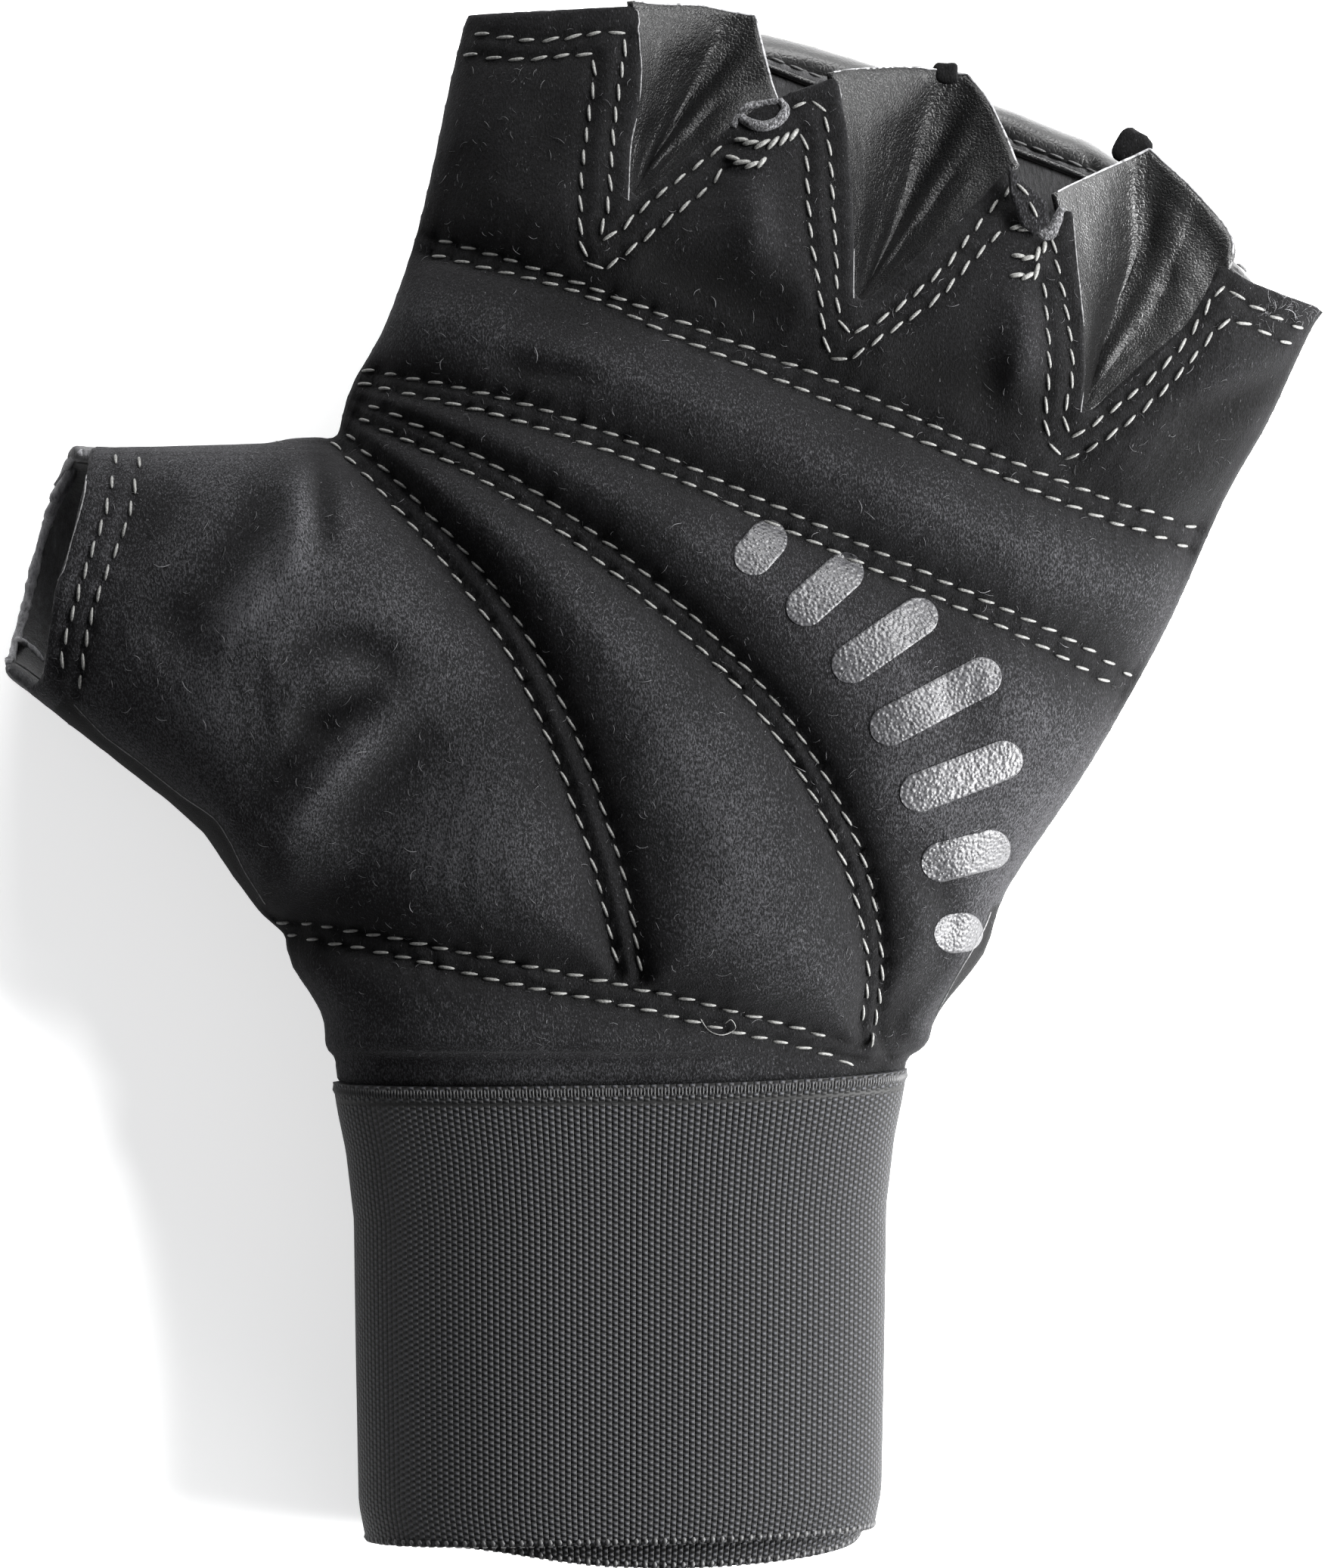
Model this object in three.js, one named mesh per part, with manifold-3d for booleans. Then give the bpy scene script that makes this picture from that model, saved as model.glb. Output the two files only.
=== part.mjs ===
// Fingerless padded boxing glove for the left hand, lying on its back with the palm up.
// Millimetres. +X runs to the little finger, +Y to the finger openings, +Z out of the palm.
// The tables are written from the middle of the cuff rim, and the whole glove is centred at the end.
import * as THREE from 'three';
import { mergeVertices } from 'three/addons/utils/BufferGeometryUtils.js';
import Module from 'manifold-3d';

const wasm = await Module();
wasm.setup();

// Hand
const handLength = 142; // cuff rim to the finger edge
const handWidth = 112; // across the stitched palm
const palmHeight = 42; // top of the padded palm above the table
const seamHeight = 18; // level of the side seam between palm and back
const backLift = 2.2; // the back panel's lowest line above the table
const suedeWall = 2.4; // padded suede palm
const backWall = 2; // leather back with its lining
const reliefDepth = 1.1; // how far the stitch rows pull the padding down
const reliefReach = 4; // from a stitch row to full padding
const reliefRise = 9; // above the side seam, to where the stitch rows pull in full
const reliefRim = 6; // above the cuff rim, to where the stitch rows pull in full

// Thumb
const thumbHeight = 33; // top of the thumb at its opening

// Knuckle pad
const padThickness = 10; // padding under the back of the fingers
const padLength = 58; // from the rolled edge towards the wrist
const rollHeight = 13; // top of the rolled edge
const rollOverhang = 4.6; // how far the roll shows past the back panel's finger edge

// Gussets between the fingers
const gussetWall = 1.2;
const gussetLap = 1.1; // leaf edge tucked under the suede

// Wrist wrap
const cuffHeight = 60.5; // width of the elastic
const cuffWidth = 76; // across the flared rim
const cuffDepth = 36; // height of the wound cuff lying on the table
const elasticWall = 1.5;
const rimTilt = 0.9; // the wrap's edges rise this much to the little finger side
const rimBow = 1.2; // and sag this much across the palm
const rimRise = 0.4; // from the hand's zero line to the middle of the rim's side
const windingDrop = 3.3; // the inner turn shows this far below the outer one
const sleeveLength = 22; // how far the glove reaches down inside the wrap
const sleeveSpare = 2; // how far the uncut form runs on past the sleeve's end

// Fits
const seamGap = 0.3; // between pieces sewn to each other
const layerGap = 0.3; // between two turns of the wrap
const sleeveGap = 0.5; // between the glove and the wrap
const rimClearance = 0.6; // from the rim's highest point to where the palm swells over it

// Mesh fineness: rings between two rows of a table, and points round a ring
const palmMesh = { hand: 3, thumb: 2, sides: 42 };
const plainMesh = { hand: 1, thumb: 1, sides: 28 };
const padStations = 16;
const leafSteps = 9;
const windingSteps = 76;
const rollSteps = 8;
const leafDrops = 3;
const stitchSamples = 40;
const speckVolume = 1; // cubic millimetres

// A table is rows of numbers under named columns
function table(columns, rows) {
  return rows.map((row) => Object.fromEntries(columns.map((name, i) => [name, row[i]])));
}

// Sections of the hand from just above the cuff to past the finger edge. The ends are shares of
// hand width and hand length, the crown is a share of the palm height, and pad is how much of the
// knuckle pad lies under the section.
const handSections = table(
  ['leftX', 'leftY', 'rightX', 'rightY', 'crown', 'pad'],
  [
    [-0.335, 0.034, 0.35, 0.034, 0.9, 0],
    [-0.362, 0.073, 0.388, 0.073, 0.95, 0],
    [-0.395, 0.122, 0.432, 0.118, 0.98, 0],
    [-0.38, 0.205, 0.457, 0.175, 1, 0],
    [-0.352, 0.32, 0.538, 0.27, 1, 0],
    [-0.336, 0.43, 0.593, 0.342, 0.985, 0],
    [-0.34, 0.535, 0.653, 0.43, 0.96, 0.25],
    [-0.325, 0.63, 0.714, 0.538, 0.93, 0.75],
    [-0.282, 0.694, 0.763, 0.606, 0.9, 1],
    [-0.247, 0.77, 0.795, 0.66, 0.87, 1],
    [-0.224, 0.842, 0.818, 0.698, 0.83, 1],
    [-0.205, 0.915, 0.83, 0.712, 0.78, 1],
    [-0.182, 0.99, 0.836, 0.72, 0.74, 1],
    [-0.142, 1.084, 0.876, 0.814, 0.71, 1],
  ],
);

// Sections of the thumb from past its opening to deep inside the palm. The ends are shares of hand
// width and hand length, the crown is a share of the thumb height, and sink is how far the belly
// rises, as a share of the seam height.
const thumbSections = table(
  ['topX', 'topY', 'bottomX', 'bottomY', 'crown', 'sink'],
  [
    [-0.695, 0.605, -0.79, 0.385, 0.94, 0],
    [-0.634, 0.589, -0.728, 0.374, 0.96, 0],
    [-0.565, 0.588, -0.653, 0.33, 1, 0],
    [-0.495, 0.589, -0.573, 0.281, 1.06, 0],
    [-0.418, 0.591, -0.491, 0.227, 1.13, 0],
    [-0.355, 0.597, -0.424, 0.152, 1.18, 0],
    [-0.265, 0.575, -0.34, 0.13, 1.19, 0.02],
    [-0.05, 0.5, -0.08, 0.2, 1.17, 0.2],
  ],
);

// Stitch rows that pull the palm padding down, as points in shares of hand width and hand length
const stitchRows = {
  fingers: [[-0.26, 0.785], [-0.1, 0.745], [0.19, 0.66], [0.45, 0.575], [0.71, 0.503]],
  knuckles: [[-0.32, 0.65], [-0.13, 0.62], [0.08, 0.565], [0.32, 0.475], [0.62, 0.36]],
  lifeline: [[-0.34, 0.63], [-0.13, 0.555], [0.06, 0.42], [0.2, 0.295], [0.29, 0.16], [0.29, 0.02]],
  thumb: [[-0.35, 0.6], [-0.26, 0.535], [-0.11, 0.4], [-0.02, 0.24], [0.01, 0.09]],
  heel: [[-0.41, 0.145], [-0.22, 0.12], [0, 0.085], [0.27, 0.015]],
};

// Notches of the palm between the fingers, with the leather leaf on each side of them: the sides of
// the notch from its crotch to the finger edge, and the finger end of the fold between the leaves
const gussets = {
  index_middle: {
    left: [[0.009, 0.808], [0.014, 0.869], [0.023, 0.905], [0.026, 0.945], [0.021, 0.996]],
    right: [[0.009, 0.808], [0.081, 0.856], [0.126, 0.881], [0.16, 0.9], [0.2, 0.915]],
    fold: [0.16, 0.985],
  },
  middle_ring: {
    left: [[0.274, 0.711], [0.275, 0.76], [0.274, 0.806], [0.269, 0.87], [0.256, 0.93]],
    right: [[0.274, 0.711], [0.33, 0.749], [0.395, 0.795], [0.43, 0.822], [0.455, 0.843]],
    fold: [0.411, 0.925],
  },
  ring_little: {
    left: [[0.54, 0.609], [0.547, 0.655], [0.544, 0.71], [0.539, 0.76], [0.532, 0.808]],
    right: [[0.54, 0.609], [0.616, 0.665], [0.667, 0.7], [0.69, 0.73], [0.705, 0.758]],
    fold: [0.626, 0.85],
  },
};

// Finger edge of the palm beside the notches
const indexCorner = [-0.182, 0.989];
const ringWeb = [[0.473, 0.81], [0.493, 0.792]];
const littleCorner = [[0.742, 0.74], [0.786, 0.727], [0.832, 0.715]];

// Thumb opening: the suede edge, and the back panel's edge further out
const thumbPalmEdge = [[-0.623, 0.61], [-0.628, 0.56], [-0.646, 0.496], [-0.664, 0.454], [-0.68, 0.37]];
const thumbBackEdge = [[-0.643, 0.6], [-0.662, 0.572], [-0.672, 0.549], [-0.7, 0.481], [-0.733, 0.372]];

// The front of the rolled edge, from the index to the little finger. The back panel's finger edge
// follows it.
const knuckleEdge = [
  [-0.192, 0.993], [-0.117, 0.998], [-0.017, 1.003], [0.073, 0.998], [0.163, 0.99], [0.289, 0.96],
  [0.423, 0.924], [0.518, 0.897], [0.588, 0.874], [0.653, 0.838], [0.714, 0.796], [0.773, 0.754],
  [0.813, 0.728],
];

// Flare of the wrap from its rim to its lower edge: down is a share of the cuff height and width a
// share of the cuff width
const cuffFlare = table(
  ['down', 'width'],
  [[0, 1], [0.06, 0.985], [0.15, 0.955], [0.3, 0.927], [0.6, 0.92], [0.92, 0.91], [1, 0.885]],
);

// Where the thumb's upper edge meets the hand, as a share of the hand length, and how far out from
// the index corner its cut runs, as a share of the hand width
const thumbCrotch = 0.63;
const thumbCrotchReach = 0.12;

// Fall of the finger row to the little finger side
const fingerRowSlope = 0.3;

// Lean of the fingers to the little finger side, in degrees
const indexLean = 17.5;
const littleLean = 26.7;

// Upper side of the pad from behind its roll to its heel end, and a little way under it
const padProfile = table(
  ['run', 'height'],
  [[0.25, 1], [0.8, 1], [0.96, 0.7], [1, 0.35], [0.97, 0.1], [0.92, 0]],
);

// The pad starts and ends this share of the finger edge in from the sides, and its ends rise from
// this share of its thickness, in a curve of this power
const padMargin = 0.045;
const padEndRise = 0.5;
const padEndCurve = 0.35;

// How much shorter the pad is at its ends, which rounds its corners
const padCorner = 0.3;

// How fast the fold between two leaves drops from the crotch, in a curve of this power, and how the
// leaves curve into it
const foldPlunge = 1.8;
const foldCurve = 0.7;
const leafCurve = 1.4;

// The wrap starts at this angle, low on the little finger side. It climbs over its inner end between
// windingClimb and one turn, and ends just before it would meet that climb.
const windingStart = -0.9;
const windingClimb = 0.9;
const windingEnd = 1.88;

// The inner turn's drop comes in across the palm, between these shares of the half width
const dropStart = -0.7;
const dropFull = 0.2;

// Roundness of the sections: 1 is an ellipse, and less is boxier
const crownRoundness = 0.8;
const bellyRoundness = 0.62;

// Helpers on points and solids
const place = ([x, y]) => new THREE.Vector3(x * handWidth, y * handLength, 0);
const spline = (points) => new THREE.CatmullRomCurve3(points, false, 'catmullrom', 0.5);
const rounded = (value, power) => Math.sign(value) * Math.abs(value) ** power;

// Turn points and triangles into a manifold solid with its faces out
function toSolid(points, triangles) {
  const vertProperties = new Float32Array(points.flatMap((p) => [p.x, p.y, p.z]));
  let volume = 0;
  for (const [a, b, c] of triangles) {
    volume += points[a].dot(new THREE.Vector3().crossVectors(points[b], points[c]));
  }
  const faces = volume < 0 ? triangles.map(([a, b, c]) => [a, c, b]) : triangles;
  const triVerts = new Uint32Array(faces.flat());
  return new wasm.Manifold(new wasm.Mesh({ numProp: 3, vertProperties, triVerts }));
}

// Turn a closed three.js geometry into a manifold solid
function geometrySolid(geometry) {
  const bare = geometry.clone();
  bare.deleteAttribute('normal');
  bare.deleteAttribute('uv');
  const merged = mergeVertices(bare, 1e-4);
  const vertProperties = new Float32Array(merged.attributes.position.array);
  const triVerts = new Uint32Array(merged.index.array);
  return new wasm.Manifold(new wasm.Mesh({ numProp: 3, vertProperties, triVerts }));
}

// A closed body through rings of points, capped at both ends
function loft(rings) {
  const sides = rings[0].length;
  const points = rings.flat();
  const triangles = [];
  for (let r = 0; r + 1 < rings.length; r += 1) {
    for (let k = 0; k < sides; k += 1) {
      const a = r * sides + k;
      const b = r * sides + ((k + 1) % sides);
      triangles.push([a, b, b + sides], [a, b + sides, a + sides]);
    }
  }
  for (const [ring, first] of [[rings[0], true], [rings.at(-1), false]]) {
    const start = first ? 0 : (rings.length - 1) * sides;
    const middle = ring.reduce((sum, p) => sum.add(p), new THREE.Vector3()).divideScalar(sides);
    const hub = points.push(middle) - 1;
    for (let k = 0; k < sides; k += 1) {
      const a = start + k;
      const b = start + ((k + 1) % sides);
      triangles.push(first ? [b, a, hub] : [a, b, hub]);
    }
  }
  return toSolid(points, triangles);
}

// A closed wall of one thickness around a grid of points, given as rows of equal length
function sheet(grid, thickness) {
  const rows = grid.length;
  const columns = grid[0].length;
  const across = new THREE.Vector3();
  const along = new THREE.Vector3();
  const faces = [[], []];
  for (let r = 0; r < rows; r += 1) {
    for (let c = 0; c < columns; c += 1) {
      across.subVectors(grid[r][Math.min(c + 1, columns - 1)], grid[r][Math.max(c - 1, 0)]);
      along.subVectors(grid[Math.min(r + 1, rows - 1)][c], grid[Math.max(r - 1, 0)][c]);
      const normal = new THREE.Vector3().crossVectors(across, along).normalize();
      faces[0].push(grid[r][c].clone().addScaledVector(normal, thickness / 2));
      faces[1].push(grid[r][c].clone().addScaledVector(normal, -thickness / 2));
    }
  }
  const under = rows * columns;
  const triangles = [];
  for (let r = 0; r + 1 < rows; r += 1) {
    for (let c = 0; c + 1 < columns; c += 1) {
      const a = r * columns + c;
      const b = a + columns;
      triangles.push([a, a + 1, b + 1], [a, b + 1, b]);
      triangles.push([under + a, under + b + 1, under + a + 1], [under + a, under + b, under + b + 1]);
    }
  }
  const rim = [];
  for (let c = 0; c < columns; c += 1) {
    rim.push(c);
  }
  for (let r = 1; r < rows; r += 1) {
    rim.push(r * columns + columns - 1);
  }
  for (let c = columns - 2; c >= 0; c -= 1) {
    rim.push((rows - 1) * columns + c);
  }
  for (let r = rows - 2; r > 0; r -= 1) {
    rim.push(r * columns);
  }
  rim.forEach((a, i) => {
    const b = rim[(i + 1) % rim.length];
    triangles.push([a, under + a, under + b], [a, under + b, b]);
  });
  return toSolid([...faces[0], ...faces[1]], triangles);
}

// A tall prism over a plan outline
function prism(points, low, high) {
  const shape = new THREE.Shape(points.map((p) => new THREE.Vector2(p.x, p.y)));
  const geometry = new THREE.ExtrudeGeometry(shape, { depth: high - low, bevelEnabled: false });
  return geometrySolid(geometry.translate(0, 0, low));
}

// The section of a tube between two plan points: crown above the seam and belly below it
function sectionRing(from, to, crown, belly, sides, inset) {
  const middle = new THREE.Vector3().addVectors(from, to).divideScalar(2);
  const half = new THREE.Vector3().subVectors(to, from).divideScalar(2);
  half.setLength(half.length() - inset);
  const ring = [];
  for (let k = 0; k < sides; k += 1) {
    const angle = (2 * Math.PI * k) / sides;
    const rise = Math.sin(angle);
    const point = middle.clone().addScaledVector(half, rounded(Math.cos(angle), crownRoundness));
    const height = rise > 0 ? crown - seamHeight : seamHeight - belly;
    point.z = seamHeight + height * rounded(rise, rise > 0 ? crownRoundness : bellyRoundness);
    ring.push(point);
  }
  return ring;
}

// Half width and half height of the glove's sleeve inside the wrap
const wrapWall = 2 * elasticWall + layerGap;
const sleeveHalf = cuffWidth / 2 - wrapWall - sleeveGap;
const sleeveHeight = cuffDepth - 2 * (wrapWall + sleeveGap);
const cuffMiddle = cuffDepth / 2;

// Width of the wrap as a share, at a share of its height below the rim
function flareAt(down) {
  const next = cuffFlare.findIndex((row) => row.down >= down);
  if (next < 0) return cuffFlare.at(-1).width;
  if (next === 0) return cuffFlare[0].width;
  const a = cuffFlare[next - 1];
  const b = cuffFlare[next];
  return THREE.MathUtils.mapLinear(down, a.down, b.down, a.width, b.width);
}

// Rows for the sleeve, which takes its size from the wrap and not from the hand
function sleeveRow(depth) {
  const half = (cuffWidth / 2) * flareAt(depth / cuffHeight) - (cuffWidth / 2 - sleeveHalf);
  return {
    from: new THREE.Vector3(-half, -depth, 0),
    to: new THREE.Vector3(half, -depth, 0),
    crown: cuffMiddle + sleeveHeight / 2,
    belly: cuffMiddle - sleeveHeight / 2,
  };
}

// The sleeve follows the flare of the wrap down to its own end
const flareDepths = cuffFlare.map((row) => row.down * cuffHeight);
const sleeveDepths = flareDepths.filter((depth) => depth > 0 && depth < sleeveLength);

const handRows = [
  sleeveRow(sleeveLength + sleeveSpare),
  ...sleeveDepths.toReversed().map(sleeveRow),
  sleeveRow(-(rimRise + rimTilt + rimClearance)),
  ...handSections.map((row) => ({
    from: place([row.leftX, row.leftY]),
    to: place([row.rightX, row.rightY]),
    crown: row.crown * palmHeight,
    belly: backLift + row.pad * (padThickness + seamGap - backLift),
  })),
];

const thumbRows = thumbSections.map((row) => ({
  from: place([row.topX, row.topY]),
  to: place([row.bottomX, row.bottomY]),
  crown: row.crown * thumbHeight,
  belly: backLift + row.sink * seamHeight,
}));

// Rings of a tube through its rows, drawn in by an inset at the sides and crown and by a floor below
function tubeRings(rows, steps, sides, inset, floor) {
  const from = spline(rows.map((row) => row.from));
  const to = spline(rows.map((row) => row.to));
  const heights = spline(rows.map((row) => new THREE.Vector3(row.crown - inset, row.belly + floor, 0)));
  const result = [];
  const last = (rows.length - 1) * steps;
  for (let r = 0; r <= last; r += 1) {
    const t = r / last;
    const height = heights.getPoint(t);
    result.push(sectionRing(from.getPoint(t), to.getPoint(t), height.x, height.y, sides, inset));
  }
  return result;
}

// How far the stitch rows pull a point of the palm down
const rowCurves = Object.values(stitchRows).map((row) => spline(row.map(place)));
const rowSamples = rowCurves.flatMap((curve) => curve.getPoints(stitchSamples));
function stitchPull(point) {
  const reach = Math.min(...rowSamples.map((p) => Math.hypot(p.x - point.x, p.y - point.y)));
  return reliefDepth * Math.exp(-((reach / reliefReach) ** 2));
}

// Level of the palm's outer face at a plan point, from the hand section whose chord passes there
function palmLevel(point) {
  const aside = (row) => (row.to.x - row.from.x) * (point.y - row.from.y)
    - (row.to.y - row.from.y) * (point.x - row.from.x);
  const next = Math.max(1, handRows.findIndex((row) => aside(row) < 0));
  const [a, b] = [handRows[next - 1], handRows[next]];
  const t = aside(a) / (aside(a) - aside(b));
  const from = a.from.clone().lerp(b.from, t);
  const to = a.to.clone().lerp(b.to, t);
  const share = Math.min(1, Math.abs((2 * point.distanceTo(from)) / from.distanceTo(to) - 1));
  const rise = (1 - share ** (2 / crownRoundness)) ** (crownRoundness / 2);
  return seamHeight + (THREE.MathUtils.lerp(a.crown, b.crown, t) - seamHeight) * rise;
}

// Lower the palm side of a ring along the stitch rows
function quilted(ring) {
  return ring.map((point) => {
    const overSeam = THREE.MathUtils.clamp((point.z - seamHeight) / reliefRise, 0, 1);
    const overRim = THREE.MathUtils.clamp(point.y / reliefRim, 0, 1);
    const share = overSeam * overRim;
    return share > 0 ? point.setZ(point.z - stitchPull(point) * share) : point;
  });
}

// The whole glove's form, hand joined to thumb, with its rings finished by a function
function gloveForm(mesh, inset, floor, finish = (ring) => ring) {
  const hand = tubeRings(handRows, mesh.hand, mesh.sides, inset, floor).map(finish);
  const thumb = tubeRings(thumbRows, mesh.thumb, mesh.sides, inset, floor).map(finish);
  return loft(hand).add(loft(thumb));
}

const hollow = gloveForm(plainMesh, suedeWall, backWall);
const palmShell = gloveForm(palmMesh, 0, 0, quilted).subtract(hollow);
const backShell = gloveForm(plainMesh, 0, 0).subtract(hollow);

// Far enough for cuts to run past the glove
const far = handWidth + handLength;

// Plan outline of a panel from its finger edge and its thumb edge, running wide of the sides
function panelPlan(fingerEdge, thumbEdge) {
  const first = fingerEdge[0];
  const last = fingerEdge.at(-1);
  return [
    ...fingerEdge,
    new THREE.Vector3(far, last.y - fingerRowSlope * (far - last.x), 0),
    new THREE.Vector3(far, -sleeveLength, 0),
    new THREE.Vector3(-far, -sleeveLength, 0),
    ...thumbEdge.toReversed(),
    new THREE.Vector3(thumbEdge[0].x, handLength * thumbCrotch, 0),
    new THREE.Vector3(first.x - handWidth * thumbCrotchReach, first.y, 0),
  ];
}

// Plan directions from the finger edge to the heel, on the index and on the little finger side
const heelward = [indexLean, littleLean].map((lean) => {
  const angle = THREE.MathUtils.degToRad(lean);
  return new THREE.Vector3(-Math.sin(angle), -Math.cos(angle), 0);
});

const notchSides = Object.values(gussets).map(({ left, right }) => {
  return [...left.toReversed(), ...right.slice(1)];
});
const palmFingerEdge = [
  indexCorner,
  ...notchSides[0],
  ...notchSides[1],
  ...ringWeb,
  ...notchSides[2],
  ...littleCorner,
].map(place);
const rollFront = knuckleEdge.map(place);
const backFingerEdge = rollFront.map((point) => point.clone().addScaledVector(heelward[0], rollOverhang));

const palmPlan = panelPlan(palmFingerEdge, thumbPalmEdge.map(place));
const backPlan = panelPlan(backFingerEdge, thumbBackEdge.map(place));
const palm = palmShell.intersect(prism(palmPlan, seamHeight + seamGap / 2, far));
const back = backShell.intersect(prism(backPlan, -far, seamHeight - seamGap / 2));

// The knuckle pad: a padded slab under the fingers, with its finger edge rolled up
function padSection(share) {
  const roll = rollHeight / 2;
  const end = padEndRise + (1 - padEndRise) * Math.sin(Math.PI * share) ** padEndCurve;
  const line = [];
  for (let k = 0; k <= rollSteps; k += 1) {
    const angle = -Math.PI / 2 + (Math.PI * k) / rollSteps;
    line.push([roll - roll * Math.cos(angle), roll + roll * rounded(Math.sin(angle), crownRoundness)]);
  }
  line.push(...padProfile.map(({ run, height }) => [run * padLength, height * padThickness]));
  const middle = padLength / 2;
  const shorter = 1 - padCorner * (1 - end);
  return line.map(([run, height]) => [middle + (run - middle) * shorter, height * end]);
}

const padFront = spline(rollFront);
const padRings = [];
for (let s = 0; s < padStations; s += 1) {
  const share = (1 - Math.cos((Math.PI * s) / (padStations - 1))) / 2;
  const front = padFront.getPoint(padMargin + share * (1 - 2 * padMargin));
  const towards = new THREE.Vector3().lerpVectors(heelward[0], heelward[1], share).normalize();
  padRings.push(padSection(share).map(([run, height]) => {
    const point = front.clone().addScaledVector(towards, run);
    return point.setZ(height);
  }));
}
const seatPlan = panelPlan(
  backFingerEdge.map((point) => point.clone().addScaledVector(heelward[0], -seamGap)),
  thumbBackEdge.map(place),
);
const room = gloveForm(plainMesh, -seamGap, -seamGap).intersect(prism(seatPlan, -far, far));
const pad = loft(padRings).subtract(room);

// The leather leaves between two fingers: from one side of the notch down to the fold and up again
const foldFloor = padThickness + seamGap + backWall + seamGap + gussetWall;
const leafCavity = gloveForm(plainMesh, suedeWall + seamGap, backWall + seamGap);
const up = new THREE.Vector3(0, 0, 1);

// A point of a leaf, a share of the way down from its sewn edge to the fold
function leafPoint(edge, bottom, down) {
  const point = edge.clone().lerp(bottom, down ** leafCurve);
  return point.setZ(THREE.MathUtils.lerp(edge.z, bottom.z, down));
}

function gussetSolid({ left, right, fold }) {
  const sides = [left, right].map((side) => spline(side.map(place)));
  const crotch = place(left[0]);
  const foldEnd = place(fold);
  const outward = foldEnd.clone().sub(crotch).normalize().applyAxisAngle(up, Math.PI / 2);
  const grid = [];
  for (let r = 0; r < leafSteps; r += 1) {
    const t = r / (leafSteps - 1);
    const [leftEdge, rightEdge] = sides.map((side, i) => {
      const point = side.getPoint(t).addScaledVector(outward, i === 0 ? gussetLap : -gussetLap);
      return point.setZ(palmLevel(point));
    });
    const bottom = crotch.clone().lerp(foldEnd, t);
    const plunge = Math.min(1, foldPlunge * t) ** foldCurve;
    bottom.z = THREE.MathUtils.lerp(palmLevel(crotch) - suedeWall, foldFloor, plunge);
    const row = [];
    for (let k = 0; k <= leafDrops; k += 1) {
      row.push(leafPoint(leftEdge, bottom, k / leafDrops));
    }
    for (let k = leafDrops - 1; k >= 0; k -= 1) {
      row.push(leafPoint(rightEdge, bottom, k / leafDrops));
    }
    grid.push(row);
  }
  return sheet(grid, gussetWall).intersect(leafCavity);
}

// The elastic wrap, wound from its inner to its outer end round the sleeve
function windingGrid() {
  const grid = [];
  for (let s = 0; s <= windingSteps; s += 1) {
    const turn = (windingEnd * s) / windingSteps;
    const angle = windingStart - 2 * Math.PI * turn;
    const layer = THREE.MathUtils.smoothstep(turn, windingClimb, 1);
    const stack = sleeveGap + elasticWall / 2 + layer * (elasticWall + layerGap);
    const rise = Math.sin(angle);
    const shown = THREE.MathUtils.smoothstep(Math.cos(angle), dropStart, dropFull);
    const drop = windingDrop * (1 - layer) * shown * Math.sqrt(Math.max(0, rise));
    const climb = rimRise + rimTilt * Math.cos(angle) - rimBow * Math.max(0, rise) - drop;
    const height = (sleeveHeight / 2 + stack) * rounded(rise, rise > 0 ? crownRoundness : bellyRoundness);
    grid.push(cuffFlare.map(({ down, width }) => new THREE.Vector3(
      ((cuffWidth / 2) * width - wrapWall - sleeveGap + stack) * rounded(Math.cos(angle), crownRoundness),
      climb - down * cuffHeight,
      cuffMiddle + height,
    )));
  }
  return grid;
}
const wrap = sheet(windingGrid(), elasticWall);

// Finishes
const suede = new THREE.MeshStandardMaterial({ color: 0x232325, roughness: 0.95, metalness: 0 });
const leather = new THREE.MeshStandardMaterial({ color: 0x1b1b1d, roughness: 0.45, metalness: 0 });
const elastic = new THREE.MeshStandardMaterial({ color: 0x3a3b3e, roughness: 0.85, metalness: 0 });

const glove = new THREE.Group();

// Add a solid to the glove as a named mesh, without the specks that a cut can leave
function addPiece(name, solid, material) {
  const lumps = solid.decompose().filter((lump) => lump.volume() > speckVolume);
  const { vertProperties, triVerts } = wasm.Manifold.compose(lumps).getMesh();
  const geometry = new THREE.BufferGeometry();
  geometry.setAttribute('position', new THREE.BufferAttribute(vertProperties, 3));
  geometry.setIndex(new THREE.BufferAttribute(triVerts, 1));
  geometry.computeVertexNormals();
  const mesh = new THREE.Mesh(geometry, material);
  mesh.name = name;
  glove.add(mesh);
}

addPiece('palm_panel', palm, suede);
addPiece('back_panel', back, leather);
addPiece('knuckle_pad', pad, leather);
for (const [name, gusset] of Object.entries(gussets)) {
  addPiece(`gusset_${name}`, gussetSolid(gusset), leather);
}
addPiece('wrist_wrap', wrap, elastic);

// Stand the glove on the table with its plan centred
const bounds = new THREE.Box3().setFromObject(glove);
const centre = bounds.getCenter(new THREE.Vector3());
glove.position.set(-centre.x, -centre.y, -bounds.min.z);

export default glove;
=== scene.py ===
"""Looks of a fingerless padded boxing glove for the left hand, lying with the palm up."""
import logging
import math
from collections.abc import Callable, Sequence
from dataclasses import dataclass
from enum import Enum

import bmesh
import bpy
import numpy as np
from mathutils import Matrix, Vector, noise
from mathutils.bvhtree import BVHTree
from mathutils.kdtree import KDTree


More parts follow.
